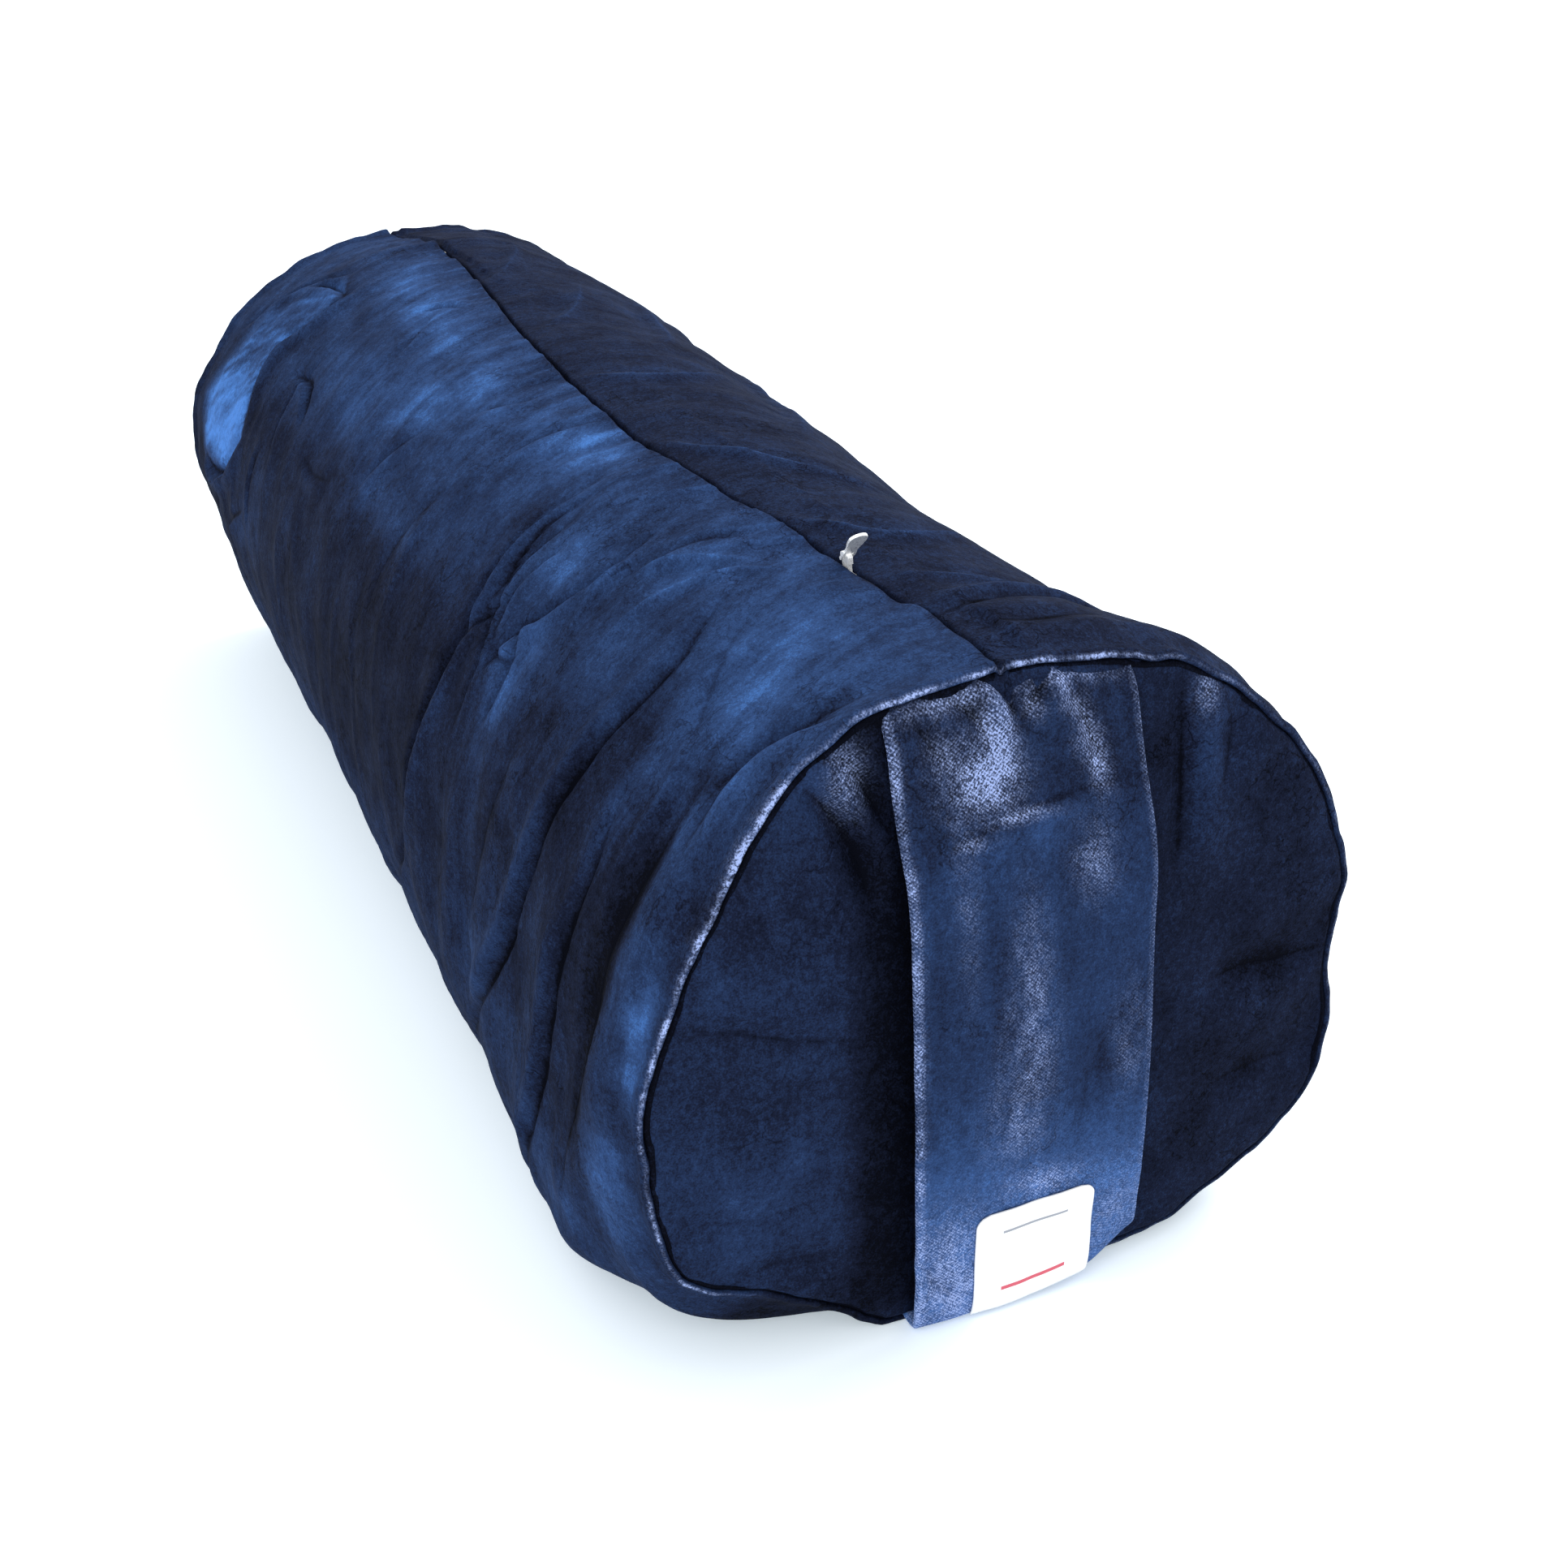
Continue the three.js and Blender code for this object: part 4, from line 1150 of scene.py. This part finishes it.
def make_strap():
    line, normal, along = strap_frame()
    half, thick = STRAP_WIDTH / 2, STRAP_THICK / 2
    across = np.linspace(-half + 1.2, half - 1.2, 44)
    turn = np.radians([60, 20, -20, -60])
    edge = np.stack([half - 1.2 + 1.2 * np.cos(turn), thick * np.sin(turn) * 1.05], 1)
    front = np.stack([across, np.full_like(across, thick)], 1)
    outline = np.vstack([front, edge, -front, -edge])
    columns = len(outline)
    verts, tone_and_painted_light, painted_sheen, thread_v, thread_s, fold, hold = [], [], [], [], [], [], []
    for i in range(len(line)):
        v, t = outline[:, 0], outline[:, 1]
        s = np.full_like(v, along[i])
        relief = strap_relief(v, s)
        curl = -0.9 * (v / half) ** 4 + 0.8
        off = t + relief + curl * smooth(along[i], 10.0, 50.0)
        x = END + line[i, 0] + normal[i, 0] * off
        z = line[i, 1] + normal[i, 1] * off
        y = v + strap_middle(z) + 0.9 * lattice(z + 0 * v, np.sign(v) * 40.0, 30.0, 1.0, 111)
        lean = rim_lean(y, z)
        z = z + smooth(z, 130.0, 204.0) * (rim_height(y) - 2.5 - 204.5)
        z = z + foot_lift(v, z)
        verts.append(np.stack([x + lean, y, np.maximum(z, 0.3)], 1))
        _, shade, offset, strength = draw_folds(v, s, STRAP_CREASES)
        tone_and_painted_light.append(strap_tone_and_painted_light(v, s) + shade)
        fold.append(offset)
        hold.append(0.8 * strength)
        painted_sheen.append(strap_painted_sheen(v, s, half))
        thread_v.append(v)
        thread_s.append(s)
    faces = grid_faces(len(line), columns)
    count = len(line) * columns
    caps = [list(range(columns))[::-1], [count - columns + c for c in range(columns)]]
    piece = new_piece("handle_strap_velvet", np.vstack(verts), faces + caps)
    outward(piece)
    paint(piece, "tone_and_painted_light", np.clip(tone_and_painted_light, 0.0, 1.0))
    paint(piece, "painted_sheen", np.array(painted_sheen))
    paint(piece, "fold", np.array(fold))
    paint(piece, "fold_strength", np.array(hold))
    paint_thread(piece, np.array(thread_v), np.array(thread_s))
    return piece


def strap_tone_and_painted_light(v, s):
    grain = 0.05 * layered(v, s, 22.0, 40.0, 121, 3, 0.6) + 0.05 * layered(v, s, 3.5, 45.0, 124, 2)
    # Lighter towards the top of the strap, a painted sheen, and darker at its foot.
    tone = 0.35 + 0.31 * smooth(s, 105.0, 190.0) + grain - 0.12 * (1.0 - smooth(s, 28.0, 50.0))
    return np.clip(tone, 0.0, 1.0)


# Painted highlights and sheen on the strap: places (v, s), strength and size.
STRAP_SHINE = [
    ((-7, 17), 1.05, (4.2, 9)), ((-12, 27), 0.95, (8.5, 6.5)), ((-22, 18), 0.34, (5, 6)),
    ((19, 18), 0.42, (3.0, 8)), ((23, 28), 0.55, (2.8, 7)), ((14, 7), 0.30, (3, 5)),
    ((-18, 4), 0.35, (16, 2.2)), ((20, 4), 0.30, (12, 2.2)), ((5, 10), 0.45, (1.8, 4)),
    ((-4, 39), 0.62, (8, 1.3)), ((-18, 43), 0.20, (6, 1.6)), ((18, 56), 0.20, (6, 10)),
    ((-3, 84), 0.20, (5, 18)), ((-4, 112), 0.26, (7, 18)), ((-7, 136), 0.20, (9, 12)),
    ((2, 160), 0.36, (10, 5)), ((-27, 192), 0.72, (9, 20)), ((28, 186), 0.16, (8, 14)),
    ((30, 118), 0.12, (5, 16)), ((-22, 60), 0.12, (3, 24)),
]


def strap_painted_sheen(v, s, half):
    tone = 0.0 * v
    grain = 0.75 + 0.75 * layered(v, s, 3.5, 6.0, 131, 2)
    for at, strength, size in STRAP_SHINE:
        tone = tone + lump(v, s, at, strength, size) * grain
    # A painted highlight along the strap's left edge.
    edge = smooth(-v, half - 3.2, half - 1.6) * (0.55 + 0.5 * layered(s, v * 0, 7.0, 1.0, 133, 2))
    edge = edge + 0.25 * smooth(v, half - 1.8, half - 0.8)
    return np.clip(tone + 0.62 * edge + 0.14 * smooth(s, 140.0, 200.0), 0.0, 1.0)


LABEL_TOP, LABEL_FOOT = 42.0, 3.0
LABEL_WIDTH = 40.0
LABEL_ROUND = 4.5


def make_label():
    """A woven label sewn flat on the strap, with rounded upper corners."""
    line, normal, along = strap_frame()
    start = int(np.argmin(np.abs(line[:120, 1] - LABEL_TOP)))
    stop = int(np.argmin(np.abs(line[:, 1] - LABEL_FOOT)))
    s_rows = np.linspace(along[start], along[stop], 56)
    shares = np.linspace(-1.0, 1.0, 49)
    half = LABEL_WIDTH / 2
    verts = []
    for offset in (0.75, 0.2):
        for s in s_rows:
            down = s - s_rows[0]
            short = LABEL_ROUND - min(down, LABEL_ROUND)
            shy = LABEL_ROUND - math.sqrt(max(LABEL_ROUND**2 - short**2, 0.0))
            wave = 0.5 * lattice(np.array([s]), np.array([0.0]), 14.0, 1.0, 141)[0]
            v = shares * (half - shy) + wave
            px = np.interp(s, along, line[:, 0])
            pz = np.interp(s, along, line[:, 1])
            nx = np.interp(s, along, normal[:, 0])
            nz = np.interp(s, along, normal[:, 1])
            relief = strap_relief(v, np.full_like(v, s))
            curl = -0.9 * (v / (STRAP_WIDTH / 2)) ** 4 + 0.8
            off = STRAP_THICK / 2 + relief + curl + offset + 0.25 * bell(np.abs(shares), 0.5, 0.3)
            x = END + px + nx * off
            z = pz + nz * off
            z = z + foot_lift(v, z)
            y = v + strap_middle(z)
            verts.append(np.stack([x + rim_lean(y, z), y, np.maximum(z, 0.05)], 1))
    n_rows, n_cols = len(s_rows), len(shares)
    piece = new_piece("handle_label_woven", np.vstack(verts), sheet_faces(n_rows, n_cols))
    outward(piece)
    v_all = np.tile(np.repeat(shares[None] * half, n_rows, 0).ravel(), 2)
    s_all = np.tile(np.repeat((s_rows - s_rows[0])[:, None], n_cols, 1).ravel(), 2)
    paint(piece, "label_v", v_all)
    paint(piece, "label_s", s_all)
    return piece


# ---------------------------------------------------------------- materials
def material(name):
    made = bpy.data.materials.new(name)
    made.use_nodes = True
    nodes = made.node_tree.nodes
    nodes.clear()
    output = nodes.new("ShaderNodeOutputMaterial")
    shader = nodes.new("ShaderNodeBsdfPrincipled")
    made.node_tree.links.new(shader.outputs[0], output.inputs[0])
    return made, made.node_tree, shader


def feed(tree, made, inputs):
    """Sets a node's inputs; a value that is another node's output is linked."""
    for key, value in inputs.items():
        if isinstance(value, bpy.types.NodeSocket):
            tree.links.new(value, made.inputs[key])
        else:
            made.inputs[key].default_value = value


def node(tree, kind, inputs=None, **settings):
    made = tree.nodes.new("ShaderNode" + kind)
    for key, value in settings.items():
        setattr(made, key, value)
    feed(tree, made, inputs or {})
    return made


def math_node(tree, operation, a, b=0.5, clamp=False):
    return node(tree, "Math", {0: a, 1: b}, operation=operation, use_clamp=clamp).outputs[0]


def times(tree, a, b, clamp=False):
    return math_node(tree, "MULTIPLY", a, b, clamp)


def plus(tree, a, b, clamp=False):
    return math_node(tree, "ADD", a, b, clamp)


def minus(tree, a, b):
    return math_node(tree, "SUBTRACT", a, b)


def painted(tree, name):
    """A number that paint() stored on the mesh."""
    return node(tree, "Attribute", attribute_name=name).outputs["Fac"]


def raise_surface(tree, shader, height, strength, distance):
    bump = node(tree, "Bump", {"Height": height, "Strength": strength, "Distance": distance})
    feed(tree, shader, {"Normal": bump.outputs[0]})


def mixed(tree, factor, a, b):
    made = tree.nodes.new("ShaderNodeMix")
    made.data_type = "RGBA"
    feed(tree, made, {"Factor": factor, 6: a, 7: b})
    return made.outputs[2]


def ramp(tree, factor, low, high, a=0.0, b=1.0):
    made = node(tree, "MapRange", {"Value": factor, "From Min": low, "From Max": high,
                                   "To Min": a, "To Max": b})
    return made.outputs[0]


def noise(tree, place, scale, detail=2.0, rough=0.5, stretch=(1.0, 1.0, 1.0)):
    spot = place
    if stretch != (1.0, 1.0, 1.0):
        spot = node(tree, "Mapping", {"Vector": place, "Scale": stretch}).outputs[0]
    made = node(tree, "TexNoise", {"Vector": spot, "Scale": scale, "Detail": detail, "Roughness": rough})
    return made.outputs["Fac"]


THREAD_PITCH = 1.25
# A fold's sharp line is painted shade in its colour, with a dip in the bump.
FOLD_LINE_TONE, FOLD_LINE_DEPTH = 0.28, 1.6  # how dark and how deep a fold's sharp line is
LABEL_THREADS = 14.0
WEAVE_SCALE = 2200.0 / 6.283


def thin_lines(tree, value, half_width):
    """1 along the lines where a noise crosses its middle, falling to 0 beside them."""
    off = math_node(tree, "ABSOLUTE", minus(tree, value, 0.5))
    return ramp(tree, off, 0.0, half_width, 1.0, 0.0)


def velvet_material():
    """Navy velvet on a woven back: tone follows the lie of the nap with painted shade and highlights, and a
    painted sheen where it is crushed.
    """
    made, tree, shader = material("velvet")
    place = node(tree, "TexCoord").outputs["Object"]
    tone_and_painted_light = painted(tree, "tone_and_painted_light")
    painted_sheen = painted(tree, "painted_sheen")
    blotch = noise(tree, place, 60.0, 5.0, 0.62)
    hoop = noise(tree, place, 260.0, 3.0, 0.6, (1.0, 0.16, 0.16))
    fleck = noise(tree, place, 520.0, 3.0, 0.65)
    grain = noise(tree, place, 1700.0, 2.0, 0.6)
    threads = []
    for way in ("thread_a", "thread_b"):
        at = painted(tree, way)
        wobble = plus(tree, at, ramp(tree, fleck, 0.3, 0.7, -0.25, 0.25))
        turn = times(tree, wobble, 2.0 * math.pi / THREAD_PITCH)
        threads.append(math_node(tree, "SINE", turn))
    weave = ramp(tree, times(tree, threads[0], threads[1]), -1.0, 1.0)
    patchy = ramp(tree, noise(tree, place, 26.0, 2.0), 0.46, 0.62)
    # Painted shade along fine crinkles and painted glints along thin pale lines, both in patches.
    crinkle = times(tree, thin_lines(tree, noise(tree, place, 48.0, 4.0, 0.6), 0.012), patchy)
    gloss = times(tree, thin_lines(tree, noise(tree, place, 70.0, 3.0, 0.5), 0.010), patchy)
    tone = plus(tree, tone_and_painted_light, ramp(tree, blotch, 0.3, 0.7, -0.05, 0.05))
    for value, spread in ((hoop, 0.035), (fleck, 0.075), (grain, 0.085)):
        tone = plus(tree, tone, ramp(tree, value, 0.3, 0.7, -spread, spread))
    # A painted shade line along each fold, pale on raised ridges as a painted highlight.
    offset = painted(tree, "fold")
    strength = painted(tree, "fold_strength")
    frayed = plus(tree, offset, ramp(tree, hoop, 0.3, 0.7, -0.5, 0.5))
    sharp = ramp(tree, math_node(tree, "ABSOLUTE", frayed, 0.0), 0.0, 1.5, 1.0, 0.0)
    sharp = times(tree, math_node(tree, "POWER", sharp, 1.5), strength)
    tone = minus(tree, tone, times(tree, sharp, FOLD_LINE_TONE))
    tone = minus(tree, tone, times(tree, crinkle, 0.11))
    tone = plus(tree, tone, times(tree, gloss, 0.05), clamp=True)
    shade = node(tree, "ValToRGB", {"Fac": tone})
    stops = shade.color_ramp.elements
    stops[0].position, stops[0].color = 0.0, (0.0020, 0.0024, 0.0052, 1)
    stops[1].position, stops[1].color = 1.0, (0.070, 0.205, 0.56, 1)
    for at, colour in (
        (0.2, (0.0075, 0.0110, 0.0275, 1)),
        (0.4, (0.015, 0.030, 0.080, 1)),
        (0.6, (0.027, 0.062, 0.168, 1)),
    ):
        stop = shade.color_ramp.elements.new(at)
        stop.color = colour
    # Painted sheen: crushed places turn pale lavender in the colour, with painted glints from the weave and
    # specks.
    speck = ramp(tree, grain, 0.38, 0.62, 0.5, 1.5)
    speck = times(tree, ramp(tree, weave, 0.35, 0.75, 0.35, 1.5), speck)
    spots = ramp(tree, noise(tree, place, 850.0, 3.0, 0.7), 0.40, 0.60, 0.30, 1.55)
    speck = times(tree, speck, spots)
    shine = times(tree, painted_sheen, speck, clamp=True)
    feed(tree, shader, {
        "Base Color": mixed(tree, shine, shade.outputs[0], (0.30, 0.38, 0.66, 1)),
        "Roughness": minus(tree, ramp(tree, blotch, 0.3, 0.7, 0.85, 0.72), times(tree, shine, 0.22)),
        "Specular IOR Level": 0.015,
        "Sheen Weight": 0.002,
        "Sheen Roughness": 0.3,
        "Sheen Tint": (0.35, 0.5, 1.0, 1),
    })
    height = plus(tree, times(tree, fleck, 0.6), times(tree, grain, 0.35))
    height = plus(tree, height, times(tree, weave, 0.15))
    height = minus(tree, height, times(tree, crinkle, 0.8))
    height = minus(tree, height, times(tree, sharp, FOLD_LINE_DEPTH))
    raise_surface(tree, shader, height, 0.6, 0.0007)
    return made


def label_material():
    """White satin weave with one grey and one red thread line."""
    made, tree, shader = material("label_weave")
    place = node(tree, "TexCoord").outputs["Object"]
    v = painted(tree, "label_v")
    s = painted(tree, "label_s")
    warp = math_node(tree, "SINE", times(tree, v, LABEL_THREADS))
    weft = math_node(tree, "SINE", times(tree, s, LABEL_THREADS))
    weave = times(tree, warp, weft)
    soil = noise(tree, place, 180.0, 3.0)
    soiled = ramp(tree, soil, 0.3, 0.8, 0.0, 0.35)
    colour = mixed(tree, soiled, (0.93, 0.92, 0.91, 1), (0.78, 0.77, 0.77, 1))

    def band(value, at, half_width):
        off = math_node(tree, "ABSOLUTE", minus(tree, value, at))
        return math_node(tree, "LESS_THAN", off, half_width)

    inside = times(tree, band(v, 0.0, 16.0), band(s, 19.0, 17.0))
    red = times(tree, band(s, 31.0, 0.7), band(v, 0.0, 11.0))
    grey = times(tree, band(s, 8.0, 0.45), band(v, 0.0, 11.0))
    colour = mixed(tree, times(tree, red, inside), colour, (0.62, 0.05, 0.09, 1))
    colour = mixed(tree, times(tree, grey, inside), colour, (0.28, 0.29, 0.32, 1))
    feed(tree, shader, {"Base Color": colour, "Roughness": 0.62, "Sheen Weight": 0.2})
    raise_surface(tree, shader, weave, 0.3, 0.0002)
    return made


def cloth_material(name, dark, light):
    """A plain weave of two tones."""
    made, tree, shader = material(name)
    place = node(tree, "TexCoord").outputs["Object"]
    waves = [
        node(tree, "TexWave", {"Vector": place, "Scale": WEAVE_SCALE, "Distortion": 0.6},
             bands_direction=way).outputs["Fac"]
        for way in ("X", "Y", "Z")
    ]
    weave = times(tree, plus(tree, waves[0], waves[1]), waves[2])
    slub = noise(tree, place, 260.0, 4.0, 0.6, (1.0, 4.0, 1.0))
    tone = times(tree, plus(tree, weave, slub), 0.55, clamp=True)
    colour = mixed(tree, tone, dark, light)
    feed(tree, shader, {"Base Color": colour, "Roughness": 0.88, "Sheen Weight": 0.15})
    raise_surface(tree, shader, tone, 0.4, 0.0003)
    return made


def nickel_material():
    made, tree, shader = material("bright_nickel")
    place = node(tree, "TexCoord").outputs["Object"]
    scuff = noise(tree, place, 900.0, 4.0, 0.6)
    colour = mixed(tree, scuff, (0.90, 0.90, 0.89, 1), (0.99, 0.99, 0.98, 1))
    rough = ramp(tree, scuff, 0.3, 0.7, 0.22, 0.38)
    feed(tree, shader, {"Base Color": colour, "Roughness": rough, "Metallic": 0.4})
    raise_surface(tree, shader, scuff, 0.15, 0.0001)
    return made


def nylon_material(name, dark, light):
    made, tree, shader = material(name)
    place = node(tree, "TexCoord").outputs["Object"]
    fine = noise(tree, place, 700.0, 3.0)
    rough = ramp(tree, fine, 0.3, 0.7, 0.38, 0.52)
    feed(tree, shader, {"Base Color": mixed(tree, fine, dark, light), "Roughness": rough})
    raise_surface(tree, shader, fine, 0.2, 0.0001)
    return made


def husk_material():
    """Loose husks: curved flakes of a few millimetres in browns."""
    made, tree, shader = material("husk")
    place = node(tree, "TexCoord").outputs["Object"]
    flakes = node(tree, "TexVoronoi", {"Vector": place, "Scale": 190.0, "Randomness": 1.0})
    tint = node(tree, "ValToRGB", {"Fac": flakes.outputs["Color"]})
    tint.color_ramp.elements[0].color = (0.20, 0.11, 0.045, 1)
    tint.color_ramp.elements[1].color = (0.62, 0.44, 0.22, 1)
    # Darker in the gaps between flakes: painted shade.
    gap = ramp(tree, flakes.outputs["Distance"], 0.0, 0.55, 1.0, 0.35)
    colour = mixed(tree, gap, (0.09, 0.05, 0.02, 1), tint.outputs[0])
    feed(tree, shader, {"Base Color": colour, "Roughness": 0.8})
    raise_surface(tree, shader, gap, 0.8, 0.0015)
    return made


def dress(piece, made):
    piece.data.materials.clear()
    piece.data.materials.append(made)
    return piece


# ---------------------------------------------------------------- build
VELVET = velvet_material()
LABEL_WEAVE = label_material()
NICKEL = nickel_material()
NAVY_TAPE = cloth_material("navy_tape", (0.010, 0.014, 0.034, 1), (0.028, 0.040, 0.095, 1))
NAVY_NYLON = nylon_material("navy_nylon", (0.010, 0.014, 0.035, 1), (0.022, 0.03, 0.07, 1))
NATURAL_TAPE = cloth_material("natural_tape", (0.55, 0.50, 0.40, 1), (0.78, 0.73, 0.62, 1))
NATURAL_NYLON = nylon_material("natural_nylon", (0.55, 0.51, 0.42, 1), (0.72, 0.68, 0.58, 1))
COTTON = cloth_material("unbleached_cotton", (0.58, 0.52, 0.41, 1), (0.84, 0.79, 0.68, 1))
HUSK = husk_material()


def place_piece(piece, made, node_name, body="cushion"):
    dress(piece, made)
    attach(piece, body)
    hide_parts(node_name)
    return piece


cover = place_piece(make_cover_body(), VELVET, "cover_body")
handle_panel = place_piece(
    make_end_panel("cover_end_handle_velvet", 1), VELVET, "cover_end_handle"
)
far_panel = place_piece(make_end_panel("cover_end_far_velvet", -1), VELVET, "cover_end_far")
strap = place_piece(make_strap(), VELVET, "handle_strap")
label = place_piece(make_label(), LABEL_WEAVE, "handle_label")
liner_parts = [
    place_piece(make_liner_body(), COTTON, "liner_body"),
    place_piece(make_liner_end("liner_end_handle_cotton", 1), COTTON, "liner_end_handle"),
    place_piece(make_liner_end("liner_end_far_cotton", -1), COTTON, "liner_end_far"),
]
husks = place_piece(make_filling(), HUSK, "filling")
for side_name, side in (("left", -1.0), ("right", 1.0)):
    tape = make_zip_tape("zip_tape_%s_woven" % side_name, side)
    place_piece(tape, NAVY_TAPE, "zip_tape_" + side_name)
    coil = make_zip_coil("zip_coil_%s_wound" % side_name, side)
    place_piece(coil, NAVY_NYLON, "zip_coil_" + side_name)

CAD_LOOKS = {
    "zip_tape": NAVY_TAPE, "zip_coil": NAVY_NYLON, "zip_top": NICKEL, "zip_bottom": NICKEL,
    "zip_slider": NICKEL, "zip_pull": NICKEL, "liner_zip_tape": NATURAL_TAPE,
    "liner_zip_coil": NATURAL_NYLON, "liner_zip": NICKEL, "liner": COTTON, "filling": HUSK,
}
for name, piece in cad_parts.items():
    for start, look in CAD_LOOKS.items():
        if name.startswith(start):
            dress(piece, look)
            break


# ---------------------------------------------------------------- stage, light and camera
def make_floor():
    bpy.ops.mesh.primitive_plane_add(size=14.0, location=(0.0, 0.0, 0.0))
    floor = bpy.context.object
    floor.name = "floor"
    made, tree, shader = material("floor_white")
    feed(tree, shader, {
        "Base Color": (0.82, 0.86, 0.90, 1),
        "Roughness": 0.8,
        "Specular IOR Level": 0.1,
        "Emission Color": (0.80, 0.93, 1.0, 1),
        "Emission Strength": 0.35,
    })
    dress(floor, made)


def area_light(name, place, aim, size, power, colour=(1, 1, 1)):
    data = bpy.data.lights.new(name, "AREA")
    data.shape, data.size, data.energy, data.color = "DISK", size, power, colour
    lamp = bpy.data.objects.new(name, data)
    bpy.context.scene.collection.objects.link(lamp)
    lamp.location = place
    lamp.rotation_euler = (Vector(aim) - Vector(place)).to_track_quat("-Z", "Y").to_euler()


def make_world(strength, colour):
    world = bpy.data.worlds.new("studio")
    bpy.context.scene.world = world
    world.use_nodes = True
    background = world.node_tree.nodes["Background"]
    background.inputs[0].default_value = (*colour, 1)
    background.inputs[1].default_value = strength


EYE = Vector((0.795, -0.272, 0.431))
LOOKED_AT = Vector((0.158, 0.0, 0.099))
ROLL = math.radians(-0.9)
LENS = 51.2


def make_camera():
    data = bpy.data.cameras.new("photo_camera")
    data.lens, data.sensor_width = LENS, 36.0
    data.clip_start, data.clip_end = 0.02, 50.0
    camera = bpy.data.objects.new("photo_camera", data)
    bpy.context.scene.collection.objects.link(camera)
    forward = (LOOKED_AT - EYE).normalized()
    right = forward.cross(Vector((0, 0, 1))).normalized()
    up = right.cross(forward)
    turned_right = math.cos(ROLL) * right + math.sin(ROLL) * up
    turned_up = math.cos(ROLL) * up - math.sin(ROLL) * right
    axes = Matrix((turned_right, turned_up, -forward)).transposed()
    camera.matrix_world = Matrix.Translation(EYE) @ axes.to_4x4()
    bpy.context.scene.camera = camera


make_floor()
make_world(1.15, (0.96, 0.98, 1.0))
area_light("key", (-0.3, 1.7, 1.7), (0.0, 0.0, 0.1), 1.6, 42.0)
area_light("fill", (1.6, -1.2, 1.4), (0.1, 0.0, 0.1), 1.6, 12.0, (0.95, 0.97, 1.0))
make_camera()
bpy.context.scene.view_settings.view_transform = "Standard"
